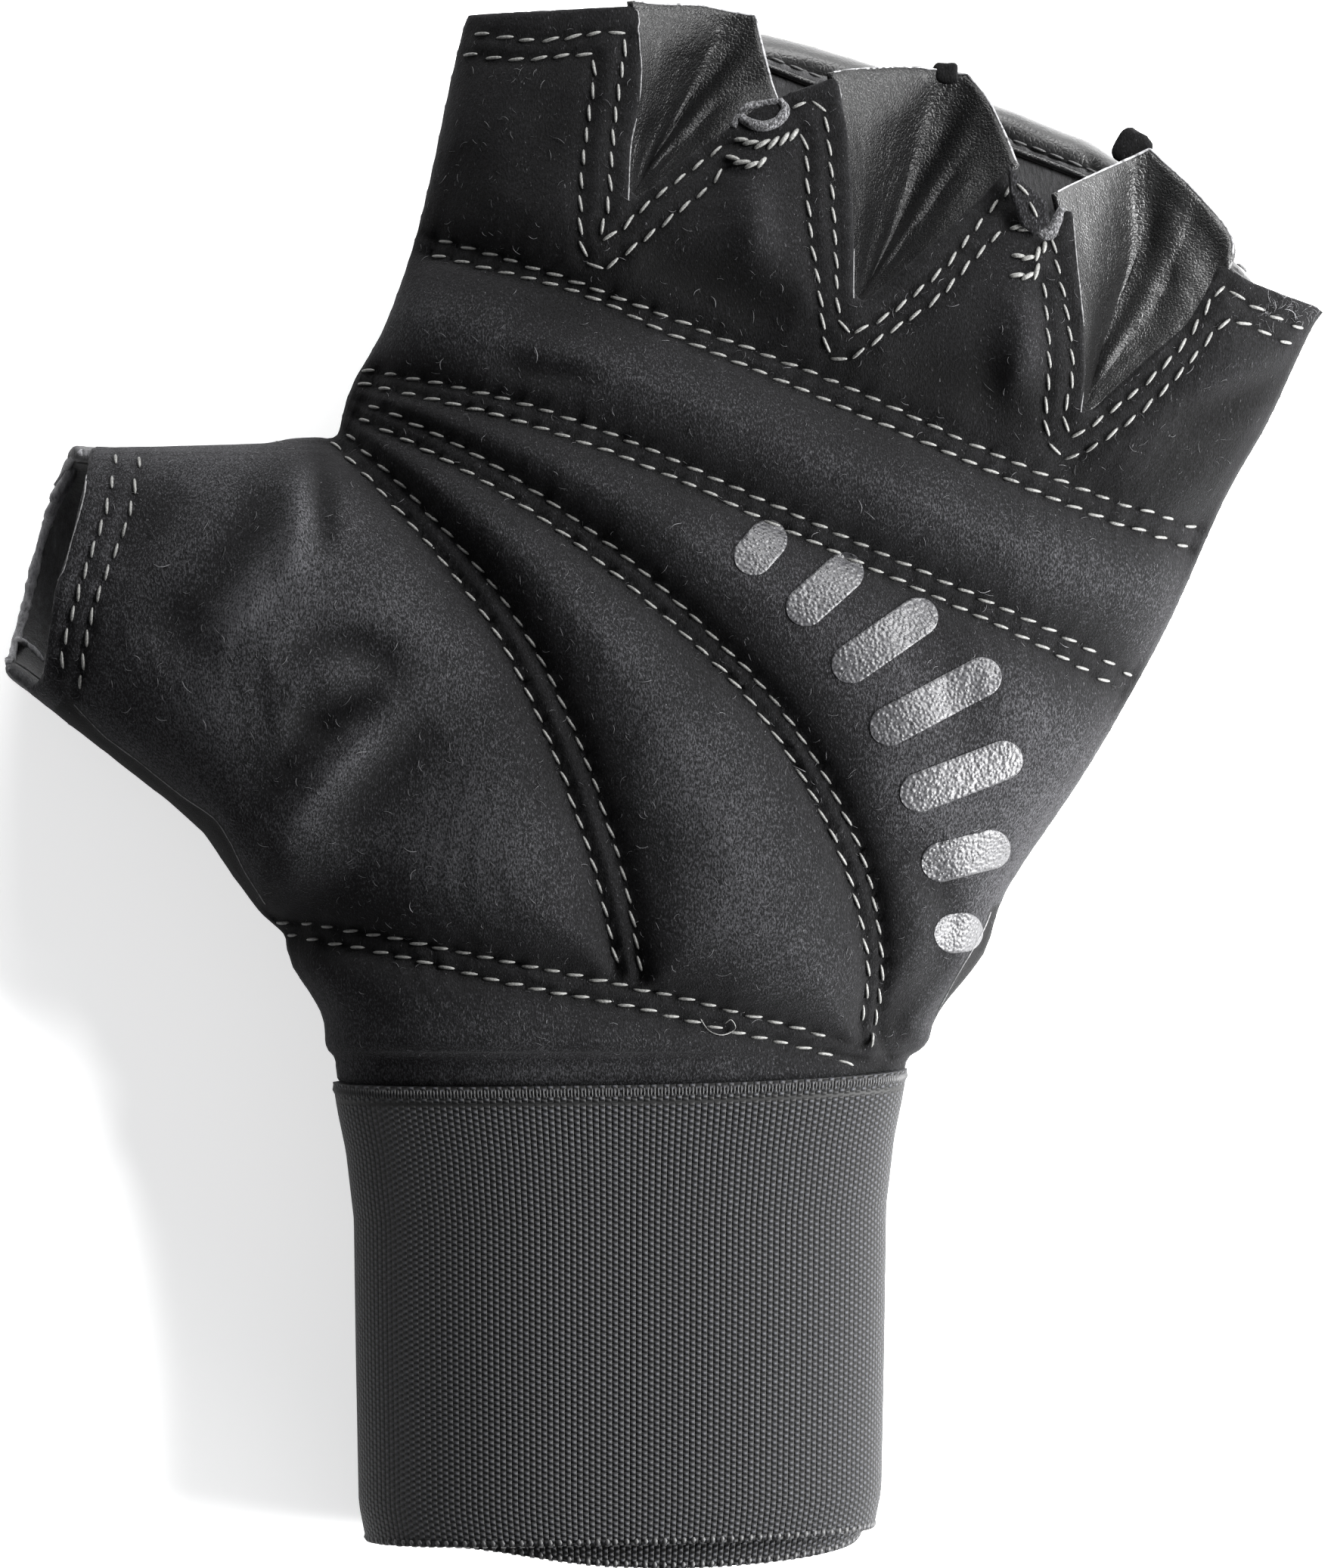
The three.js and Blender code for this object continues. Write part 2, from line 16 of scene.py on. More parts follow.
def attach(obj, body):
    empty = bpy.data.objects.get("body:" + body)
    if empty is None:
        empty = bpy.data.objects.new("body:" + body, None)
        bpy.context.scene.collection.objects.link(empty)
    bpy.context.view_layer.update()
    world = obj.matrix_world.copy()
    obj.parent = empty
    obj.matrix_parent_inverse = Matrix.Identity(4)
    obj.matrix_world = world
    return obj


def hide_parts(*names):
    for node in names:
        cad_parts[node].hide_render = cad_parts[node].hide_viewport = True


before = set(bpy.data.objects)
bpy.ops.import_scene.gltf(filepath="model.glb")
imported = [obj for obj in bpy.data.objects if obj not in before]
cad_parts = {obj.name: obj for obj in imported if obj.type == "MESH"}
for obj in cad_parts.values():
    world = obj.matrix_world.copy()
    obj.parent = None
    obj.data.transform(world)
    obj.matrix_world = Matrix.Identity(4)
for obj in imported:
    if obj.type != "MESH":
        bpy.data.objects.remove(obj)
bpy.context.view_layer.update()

log = logging.getLogger("glove")

MM = 0.001
PIXEL = 0.1 * MM  # one pixel of the picture on the glove
CENTRE_PX = (876.6, 1037.6)  # the pixel of the picture over the frame's origin
PICTURE_PX = (1764, 2074)
SEAM_LEVEL = 18 * MM  # the side seam between palm and back
CUFF_RIM = -38.74 * MM  # the middle of the wrap's upper rim
CUFF_X = -5.66 * MM
RIM_SWELL = (
    # millimetres above the rim, share of the full swell
    (-1.8, 0),
    (-0.7, 1),
    (1.2, 1),
    (1.7, 0.95),
    (3.4, 0.7),
    (5.1, 0.34),
    (6.8, 0.1),
    (8.5, 0),
)
BODY = "root"

Point = tuple[float, float]


class Slot(Enum):
    """Material slots of the record."""

    SUEDE = "suede"
    LEATHER = "leather"
    ELASTIC = "elastic"


# Small helpers on points, curves and meshes


def plan(points: Sequence[Point]) -> np.ndarray:
    """Turn picture points into plan points.

    Args:
        points: Points in pixels of the picture.

    Returns:
        An array of x and y in metres.
    """
    px = np.array(points, float)
    return np.stack([px[:, 0] - CENTRE_PX[0], CENTRE_PX[1] - px[:, 1]], axis=1) * PIXEL


def evenly(path: np.ndarray, step: float) -> np.ndarray:
    """Lay points at even steps along a polyline.

    Args:
        path: Points of the polyline.
        step: About how far apart the new points are.

    Returns:
        The new points, with both ends kept.
    """
    run = np.concatenate([[0], np.cumsum(np.linalg.norm(np.diff(path, axis=0), axis=1))])
    count = max(2, int(round(run[-1] / step)) + 1)
    at = np.linspace(0, run[-1], count)
    return np.stack([np.interp(at, run, path[:, k]) for k in range(path.shape[1])], axis=1)


def smooth_line(points: np.ndarray, step: float) -> np.ndarray:
    """Run a centripetal curve through points.

    Args:
        points: The points that the curve passes, in order.
        step: About how far apart the new points are.

    Returns:
        Even samples of the curve.
    """
    ends = [2 * points[0] - points[1]], [2 * points[-1] - points[-2]]
    p = np.concatenate([ends[0], points, ends[1]])
    pieces = []
    for p0, p1, p2, p3 in zip(p, p[1:], p[2:], p[3:]):
        t0 = 0.0
        t1 = t0 + math.sqrt(np.linalg.norm(p1 - p0))
        t2 = t1 + math.sqrt(np.linalg.norm(p2 - p1))
        t3 = t2 + math.sqrt(np.linalg.norm(p3 - p2))
        t = np.linspace(t1, t2, 24)[:, None]
        a1 = (t1 - t) / (t1 - t0) * p0 + (t - t0) / (t1 - t0) * p1
        a2 = (t2 - t) / (t2 - t1) * p1 + (t - t1) / (t2 - t1) * p2
        a3 = (t3 - t) / (t3 - t2) * p2 + (t - t2) / (t3 - t2) * p3
        b1 = (t2 - t) / (t2 - t0) * a1 + (t - t0) / (t2 - t0) * a2
        b2 = (t3 - t) / (t3 - t1) * a2 + (t - t1) / (t3 - t1) * a3
        pieces.append((t2 - t) / (t2 - t1) * b1 + (t - t1) / (t2 - t1) * b2)
    return evenly(np.concatenate(pieces), step)


def smoothstep(low: float, high: float, value: float) -> float:
    """Ease from 0 to 1 as value goes from low to high."""
    t = min(1.0, max(0.0, (value - low) / (high - low)))
    return t * t * (3 - 2 * t)


def rounded(value: float, power: float) -> float:
    """Raise a value to a power and keep its sign."""
    return math.copysign(abs(value) ** power, value)


def ripple(points: np.ndarray, size: float, seed: float = 0.0) -> np.ndarray:
    """Smooth noise at points.

    Args:
        points: Points in metres, one a row.
        size: Size of the noise's swells, in metres.
        seed: Moves the noise, so that two uses differ.

    Returns:
        One value a point, about from -1 to 1.
    """
    shift = Vector((seed, 1.7 * seed, -seed))
    return np.array([noise.noise(Vector(p) / size + shift) for p in points])


def get_points(mesh: bpy.types.Mesh) -> np.ndarray:
    """Return a mesh's vertices as an array."""
    co = np.empty(len(mesh.vertices) * 3, np.float32)
    mesh.vertices.foreach_get("co", co)
    return co.reshape(-1, 3).astype(float)


def set_points(mesh: bpy.types.Mesh, points: np.ndarray) -> None:
    """Write an array back to a mesh's vertices."""
    mesh.vertices.foreach_set("co", points.astype(np.float32).ravel())
    mesh.update()


def set_attribute(mesh: bpy.types.Mesh, name: str, values: np.ndarray) -> None:
    """Store one value a vertex under a name that a material reads."""
    layer = mesh.attributes.new(name, "FLOAT", "POINT")
    layer.data.foreach_set("value", values.astype(np.float32))


def link_object(name: str, mesh: bpy.types.Mesh) -> bpy.types.Object:
    """Make an object of a mesh and put it in the scene."""
    piece = bpy.data.objects.new(name, mesh)
    bpy.context.scene.collection.objects.link(piece)
    return piece


def from_bmesh(name: str, bm: bmesh.types.BMesh) -> bpy.types.Object:
    """Turn a bmesh into an object in the scene and free it."""
    mesh = bpy.data.meshes.new(name)
    bm.to_mesh(mesh)
    bm.free()
    return link_object(name, mesh)


def bake(piece: bpy.types.Object) -> None:
    """Apply all of a piece's modifiers to its mesh."""
    bpy.context.view_layer.update()
    graph = bpy.context.evaluated_depsgraph_get()
    mesh = bpy.data.meshes.new_from_object(piece.evaluated_get(graph))
    piece.modifiers.clear()
    piece.data = mesh


def shade_smooth(piece: bpy.types.Object) -> None:
    """Shade all faces of a piece smooth."""
    piece.data.polygons.foreach_set("use_smooth", [True] * len(piece.data.polygons))
    piece.data.update()


def even_copy(node: str, name: str, voxel: float) -> bpy.types.Object:
    """Copy a CAD node and give the copy an even, fine mesh.

    Args:
        node: Name of the CAD node.
        name: Name of the new piece.
        voxel: Size of the new faces, in metres.

    Returns:
        The new piece.
    """
    bm = bmesh.new()
    bm.from_mesh(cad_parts[node].data)
    bmesh.ops.remove_doubles(bm, verts=bm.verts, dist=1e-6)
    piece = from_bmesh(name, bm)
    even = piece.modifiers.new("even", "REMESH")
    even.mode = "VOXEL"
    even.voxel_size = voxel
    bake(piece)
    return piece


def relax(piece: bpy.types.Object, rounds: int, axes: str = "z", factor: float = 0.5) -> None:
    """Smooth a piece's vertices along some axes only.

    Args:
        piece: The piece.
        rounds: How often it is smoothed.
        axes: Letters of the axes along which vertices may move.
        factor: How far each round goes, from 0 to 1.
    """
    bm = bmesh.new()
    bm.from_mesh(piece.data)
    for _ in range(rounds):
        bmesh.ops.smooth_vert(
            bm,
            verts=bm.verts,
            factor=factor,
            use_axis_x="x" in axes,
            use_axis_y="y" in axes,
            use_axis_z="z" in axes,
        )
    bm.to_mesh(piece.data)
    bm.free()


def meet_cuff(points: np.ndarray) -> None:
    """Swell the leather just over the wrap's rim until it fills the rim.

    Args:
        points: The vertices of a piece that goes into the wrap. They are changed.
    """
    above = (points[:, 1] - CUFF_RIM) / MM
    heights, shares = zip(*RIM_SWELL)
    swell = np.interp(above, heights, shares)
    points[:, 0] = CUFF_X + (points[:, 0] - CUFF_X) * (1 + 0.108 * swell)
    points[:, 2] = SEAM_LEVEL + (points[:, 2] - SEAM_LEVEL) * (1 + 0.15 * swell)


def shaped_grid(
    name: str, columns: int, rows: int, place: Callable[[float, float], Vector]
) -> bpy.types.Object:
    """Make a grid and move each of its points by a rule.

    Args:
        name: Name of the new piece.
        columns: Faces along the first direction.
        rows: Faces along the second direction.
        place: Gives the place of a point from its two shares, each from 0 to 1.

    Returns:
        The new piece, with its shares as a UV map.
    """
    bm = bmesh.new()
    bmesh.ops.create_grid(bm, x_segments=columns, y_segments=rows, size=0.5)
    uv = bm.loops.layers.uv.new("cut")
    for face in bm.faces:
        for loop in face.loops:
            loop[uv].uv = (loop.vert.co.x + 0.5, loop.vert.co.y + 0.5)
    for vert in bm.verts:
        vert.co = place(vert.co.x + 0.5, vert.co.y + 0.5)
    return from_bmesh(name, bm)


def thicken(piece: bpy.types.Object, thickness: float, offset: float = 0.0) -> None:
    """Give a sheet its wall.

    Args:
        piece: The sheet.
        thickness: The wall, in metres.
        offset: 0 for half on each side, -1 for all under the faces.
    """
    wall = piece.modifiers.new("wall", "SOLIDIFY")
    wall.thickness = thickness
    wall.offset = offset
    bake(piece)


def sweep(bm: bmesh.types.BMesh, path: np.ndarray, radii: Sequence[float], sides: int) -> None:
    """Run a closed tube along a path.

    Args:
        bm: The mesh that the tube is added to.
        path: Points of the path in metres.
        radii: The tube's radius at each point.
        sides: Points round the tube.
    """
    points = [Vector(p) for p in path]
    frames = []
    for k, point in enumerate(points):
        ahead = points[min(k + 1, len(points) - 1)] - points[max(k - 1, 0)]
        turn = ahead.to_track_quat("Z", "Y").to_matrix().to_4x4()
        frames.append(Matrix.Translation(point) @ turn)
    first = bmesh.ops.create_circle(
        bm, cap_ends=True, segments=sides, radius=radii[0], matrix=frames[0]
    )
    ring = first["verts"]
    cap = next(f for f in ring[0].link_faces)
    cap.normal_flip()
    edges = [e for e in cap.edges]
    for before, after, r0, r1 in zip(frames, frames[1:], radii, radii[1:]):
        made = bmesh.ops.extrude_edge_only(bm, edges=edges)["geom"]
        verts = [g for g in made if isinstance(g, bmesh.types.BMVert)]
        edges = [g for g in made if isinstance(g, bmesh.types.BMEdge)]
        edges = [e for e in edges if e.verts[0] in verts and e.verts[1] in verts]
        scale = Matrix.Diagonal((r1 / r0, r1 / r0, 1, 1))
        bmesh.ops.transform(bm, matrix=after @ scale @ before.inverted(), verts=verts)
    bmesh.ops.contextual_create(bm, geom=edges)


def stamp(name: str, template: bmesh.types.BMesh, places: Sequence[Matrix]) -> bpy.types.Object:
    """Join many copies of one small shape into one piece.

    Args:
        name: Name of the new piece.
        template: The small shape.
        places: Where each copy goes, with its turn and scale.

    Returns:
        The new piece.
    """
    template.verts.ensure_lookup_table()
    corners = np.array([(*v.co, 1.0) for v in template.verts])
    faces = [[v.index for v in f.verts] for f in template.faces]
    count = len(corners)
    points = np.concatenate([corners @ np.array(m).T for m in places])[:, :3]
    polygons = [[i + k * count for i in face] for k in range(len(places)) for face in faces]
    mesh = bpy.data.meshes.new(name)
    mesh.from_pydata(points.tolist(), [], polygons)
    mesh.update()
    return link_object(name, mesh)


def stitch_template(bend: float = 0.9) -> bmesh.types.BMesh:
    """Make one stitch of unit size, lying along X, with its ends dipping down.

    Args:
        bend: How far the ends dip, in thread radii.

    Returns:
        The stitch as a bmesh.
    """
    bm = bmesh.new()
    bmesh.ops.create_uvsphere(bm, u_segments=6, v_segments=6, radius=1)
    bmesh.ops.rotate(bm, verts=bm.verts, matrix=Matrix.Rotation(math.pi / 2, 3, "Y"))
    for vert in bm.verts:
        x = vert.co.x
        full = (1 - abs(x) ** 3) ** 0.5 / max(1e-6, math.sqrt(1 - min(x * x, 0.999999)))
        vert.co.y *= full
        vert.co.z = vert.co.z * full - bend * x * x
    return bm


@dataclass(frozen=True)
class Stitch:
    """Sizes of one kind of stitch."""

    pitch: float = 3.0 * MM
    length: float = 2.35 * MM
    radius: float = 0.23 * MM
    slant: float = 9.0  # degrees between a stitch and its line
    lift: float = 0.14 * MM
    unevenness: float = 0.14


class Surface:
    """The faces of a piece, to lay other pieces on."""

    def __init__(self, piece: bpy.types.Object) -> None:
        """Take the faces of a finished piece."""
        mesh = piece.data
        verts = [v.co.copy() for v in mesh.vertices]
        self.tree = BVHTree.FromPolygons(verts, [list(p.vertices) for p in mesh.polygons])

    def top(self, x: float, y: float) -> tuple[Vector, Vector]:
        """Find the upper side over a plan point.

        Args:
            x: Plan place in metres.
            y: Plan place in metres.

        Returns:
            The point of the surface and its normal.
        """
        return self._hit(Vector((x, y, 100 * MM)), Vector((0, 0, -1)))

    def under(self, x: float, y: float) -> tuple[Vector, Vector]:
        """Find the lower side of the palm over a plan point.

        Args:
            x: Plan place in metres.
            y: Plan place in metres.

        Returns:
            The point of the surface and its normal.
        """
        return self._hit(Vector((x, y, SEAM_LEVEL + 0.3 * MM)), Vector((0, 0, 1)))

    def _hit(self, start: Vector, way: Vector) -> tuple[Vector, Vector]:
        """Cast a ray, and take the nearest point where it misses."""
        point, normal, _, _ = self.tree.ray_cast(start, way)
        if point is None:
            middle = Vector((start.x, start.y, SEAM_LEVEL + 10 * MM))
            point, normal, _, _ = self.tree.find_nearest(middle)
        return point, normal


class NearestLine:
    """Distances from plan points to a set of lines."""

    def __init__(self, lines: Sequence[np.ndarray]) -> None:
        """Take lines given as even samples."""
        samples = np.concatenate(lines)
        runs = [np.linalg.norm(np.diff(line, axis=0), axis=1) for line in lines]
        self.run = np.concatenate([np.concatenate([[0], np.cumsum(r)]) for r in runs])
        self.tree = KDTree(len(samples))
        for i, (x, y) in enumerate(samples):
            self.tree.insert((x, y, 0), i)
        self.tree.balance()

    def measure(self, points: np.ndarray) -> tuple[np.ndarray, np.ndarray]:
        """Measure points against the lines.

        Args:
            points: Plan points, one a row.

        Returns:
            The distance to the nearest line and the run along it there.
        """
        found = [self.tree.find((p[0], p[1], 0)) for p in points]
        return np.array([f[2] for f in found]), self.run[[f[1] for f in found]]


def right_of(points: np.ndarray, line: np.ndarray) -> np.ndarray:
    """Measure how far points lie to the right of a line, as seen along it.

    Args:
        points: Plan points, one a row.
        line: Even samples of the line.

    Returns:
        Distances, negative on the left and large past the line's ends.
    """
    tree = KDTree(len(line))
    for i, (x, y) in enumerate(line):
        tree.insert((x, y, 0), i)
    tree.balance()
    ahead = np.gradient(line, axis=0)
    ahead /= np.linalg.norm(ahead, axis=1, keepdims=True)
    found = np.array([tree.find((p[0], p[1], 0))[1] for p in points])
    away = points[:, :2] - line[found]
    side = away[:, 1] * ahead[found, 0] - away[:, 0] * ahead[found, 1]
    along = np.abs((away * ahead[found]).sum(axis=1))
    return np.where(along > 1 * MM, -100 * MM, -side)


# Finishes


def linear(code: str) -> tuple[float, float, float, float]:
    """Turn an sRGB hex colour into a linear one."""
    parts = [int(code[i : i + 2], 16) / 255 for i in (1, 3, 5)]
    r, g, b = [c / 12.92 if c <= 0.04045 else ((c + 0.055) / 1.055) ** 2.4 for c in parts]
    return r, g, b, 1.0


def add_node(
    tree: bpy.types.NodeTree, kind: str, inputs: dict | None = None, **settings: object
) -> bpy.types.Node:
    """Add a node with its settings and links.

    Args:
        tree: The material's node tree.
        kind: The node's type.
        inputs: A value or another node's output for each named or numbered input.
        **settings: Values of the node's own properties.

    Returns:
        The new node.
    """
    made = tree.nodes.new(kind)
    for name, value in settings.items():
        setattr(made, name, value)
    for key, value in (inputs or {}).items():
        if isinstance(value, bpy.types.NodeSocket):
            tree.links.new(value, made.inputs[key])
        else:
            made.inputs[key].default_value = value
    return made


def start_material(name: str) -> tuple[bpy.types.Material, bpy.types.NodeTree, bpy.types.Node]:
    """Make an empty material.

    Args:
        name: The material's name.

    Returns:
        The material, its node tree and its main shader.
    """
    material = bpy.data.materials.new(name)
    material.use_nodes = True
    tree = material.node_tree
    tree.nodes.clear()
    shader = add_node(tree, "ShaderNodeBsdfPrincipled")
    add_node(tree, "ShaderNodeOutputMaterial", {"Surface": shader.outputs[0]})
    return material, tree, shader


def shade_ramp(
    tree: bpy.types.NodeTree, value: bpy.types.NodeSocket, stops: Sequence[tuple[float, str]]
) -> bpy.types.NodeSocket:
    """Colour a value by hex stops.

    Args:
        tree: The material's node tree.
        value: The value from 0 to 1.
        stops: Places and hex colours.

    Returns:
        The colour output.
    """
    ramp = add_node(tree, "ShaderNodeValToRGB", {"Fac": value})
    while len(ramp.color_ramp.elements) < len(stops):
        ramp.color_ramp.elements.new(0.5)
    for element, (place, code) in zip(ramp.color_ramp.elements, stops):
        element.position = place
        element.color = linear(code)
    return ramp.outputs["Color"]


@dataclass(frozen=True)
class BrushedSuede:
    """Microfibre suede, brushed: a matt black ground under a short, light nap."""

    name: str = "microfibre_suede_brushed"
    fibre: float = 0.22 * MM  # drawn coarser than the real nap, so that it shows
    lint: float = 0.7 * MM  # length of the loose pale fibres
    patch: float = 14 * MM  # swells where the nap lies another way
    ground: str = "#030303"
    nap: str = "#0f0f10"
    tips: str = "#323234"

    def material(self) -> bpy.types.Material:
        """Return the material. Light tips on a dark ground give the eye a dusty black."""
        material, tree, shader = start_material(self.name)
        place = add_node(tree, "ShaderNodeTexCoord").outputs["Object"]
        combed = add_node(tree, "ShaderNodeMapping", {"Vector": place, "Scale": (1, 0.5, 1)})
        fibres = add_node(
            tree,
            "ShaderNodeTexNoise",
            {"Vector": combed.outputs[0], "Scale": 1 / self.fibre, "Detail": 3, "Roughness": 0.65},
        )
        patches = add_node(
            tree, "ShaderNodeTexNoise", {"Vector": place, "Scale": 1 / self.patch, "Detail": 2}
        )
        # The crown attribute paints shade: a low crown darkens the colour, in the quilting's valleys, on
        # the finger lobes and past the thumb's seam.
        crown = add_node(tree, "ShaderNodeAttribute", attribute_name="crown").outputs["Fac"]
        swell = add_node(
            tree,
            "ShaderNodeMath",
            {0: patches.outputs["Fac"], 1: 0.16, 2: -0.08},
            operation="MULTIPLY_ADD",
        )
        lift = add_node(
            tree,
            "ShaderNodeMath",
            {0: crown, 1: 0.3, 2: swell.outputs[0]},
            operation="MULTIPLY_ADD",
        )
        value = add_node(
            tree, "ShaderNodeMath", {0: fibres.outputs["Fac"], 1: lift.outputs[0]}, operation="ADD"
        )
        stops = [(0.5, self.ground), (0.78, self.nap), (1.0, self.tips)]
        cloth = shade_ramp(tree, value.outputs[0], stops)
        tilted = add_node(
            tree,
            "ShaderNodeMapping",
            {"Vector": place, "Rotation": (0, 0, 0.5), "Scale": (1, 0.22, 1)},
        )
        strands = add_node(
            tree,
            "ShaderNodeTexNoise",
            {"Vector": tilted.outputs[0], "Scale": 4 / self.lint, "Detail": 2, "Distortion": 0.6},
        )
        loose = add_node(
            tree,
            "ShaderNodeMapRange",
            {"Value": strands.outputs["Fac"], "From Min": 0.68, "From Max": 0.78, "To Max": 0.5},
        )
        dusted = add_node(
            tree,
            "ShaderNodeMix",
            {"Factor": loose.outputs[0], "A": cloth, "B": linear("#5a5a5c")},
            data_type="RGBA",
        )
        tree.links.new(dusted.outputs["Result"], shader.inputs["Base Color"])
        bump = add_node(
            tree,
            "ShaderNodeBump",
            {"Height": fibres.outputs["Fac"], "Strength": 0.8, "Distance": 0.2 * MM},
        )
        tree.links.new(bump.outputs[0], shader.inputs["Normal"])
        shader.inputs["Roughness"].default_value = 0.95
        shader.inputs["Specular IOR Level"].default_value = 0.08
        shader.inputs["Sheen Weight"].default_value = 0.04
        shader.inputs["Sheen Roughness"].default_value = 0.5
        shader.inputs["Sheen Tint"].default_value = linear("#c8c8cc")
        return material


@dataclass(frozen=True)
class PebbledLeather:
    """Synthetic leather with a pressed pebble grain, half glossy."""

    name: str = "synthetic_leather_pebbled"
    pebble: float = 0.5 * MM
    crease: float = 1.5 * MM  # spacing of the fine wrinkles
    pull: float = -0.45  # way of the wrinkles from the X axis, in radians
    colour: str = "#09090a"
    shine: float = 0.3
    roughness: float = 0.42
    grain_depth: float = 0.06 * MM
    crease_depth: float = 0.24 * MM

    def material(self) -> bpy.types.Material:
        """Return the material. Broken highlights on the pebbles tell it from the suede."""
        material, tree, shader = start_material(self.name)
        place = add_node(tree, "ShaderNodeTexCoord").outputs["Object"]
        bent = add_node(tree, "ShaderNodeTexNoise", {"Vector": place, "Scale": 0.5 / self.pebble})
        shifted = add_node(
            tree,
            "ShaderNodeVectorMath",
            {0: bent.outputs["Color"], 1: (0.9 * self.pebble,) * 3, 2: place},
            operation="MULTIPLY_ADD",
        )
        cells = add_node(
            tree,
            "ShaderNodeTexVoronoi",
            {"Vector": shifted.outputs[0], "Scale": 1 / self.pebble},
            feature="DISTANCE_TO_EDGE",
        )
        pebbles = add_node(
            tree,
            "ShaderNodeMapRange",
            {"Value": cells.outputs["Distance"], "From Max": 0.28},
            interpolation_type="SMOOTHSTEP",
        )
        pulled = add_node(
            tree,
            "ShaderNodeMapping",
            {"Vector": shifted.outputs[0], "Rotation": (0, 0, self.pull), "Scale": (0.3, 1, 1)},
        )
        creases = add_node(
            tree,
            "ShaderNodeTexNoise",
            {"Vector": pulled.outputs[0], "Scale": 1 / self.crease, "Detail": 5, "Roughness": 0.55},
        )
        fine = add_node(
            tree,
            "ShaderNodeBump",
            {"Height": pebbles.outputs[0], "Strength": 0.8, "Distance": self.grain_depth},
        )
        both = add_node(
            tree,
            "ShaderNodeBump",
            {
                "Height": creases.outputs["Fac"],
                "Strength": 0.6,
                "Distance": self.crease_depth,
                "Normal": fine.outputs[0],
            },
        )
        tree.links.new(both.outputs[0], shader.inputs["Normal"])
        colour = shade_ramp(tree, pebbles.outputs[0], [(0.0, "#080808"), (0.5, self.colour)])
        tree.links.new(colour, shader.inputs["Base Color"])
        shader.inputs["Roughness"].default_value = self.roughness
        shader.inputs["Specular IOR Level"].default_value = self.shine
        return material


@dataclass(frozen=True)
class FuzzyLining:
    """Brushed knit on the inside of the back, matt and dark grey with light lint."""

    name: str = "brushed_knit_lining"
    fibre: float = 0.5 * MM
    ground: str = "#121213"
    lint: str = "#59595b"

    def material(self) -> bpy.types.Material:
        """Return the material. The lint gives the cut edge of the back its grey line."""
        material, tree, shader = start_material(self.name)
        place = add_node(tree, "ShaderNodeTexCoord").outputs["Object"]
        fibres = add_node(
            tree,
            "ShaderNodeTexNoise",
            {
                "Vector": add_node(
                    tree, "ShaderNodeMapping", {"Vector": place, "Scale": (1, 0.35, 1)}
                ).outputs[0],
                "Scale": 1 / self.fibre,
                "Detail": 5,
                "Roughness": 0.8,
            },
        )
        edge = add_node(tree, "ShaderNodeAttribute", attribute_name="edge").outputs["Fac"]
        value = add_node(
            tree,
            "ShaderNodeMath",
            {0: edge, 1: 0.3, 2: fibres.outputs["Fac"]},
            operation="MULTIPLY_ADD",
        )
        stops = [(0.4, self.ground), (0.62, "#2b2b2d"), (0.9, self.lint)]
        tree.links.new(shade_ramp(tree, value.outputs[0], stops), shader.inputs["Base Color"])
        bump = add_node(
            tree,
            "ShaderNodeBump",
            {"Height": fibres.outputs["Fac"], "Strength": 1.0, "Distance": 0.4 * MM},
        )
        tree.links.new(bump.outputs[0], shader.inputs["Normal"])
        shader.inputs["Roughness"].default_value = 0.95
        shader.inputs["Sheen Weight"].default_value = 0.2
        return material


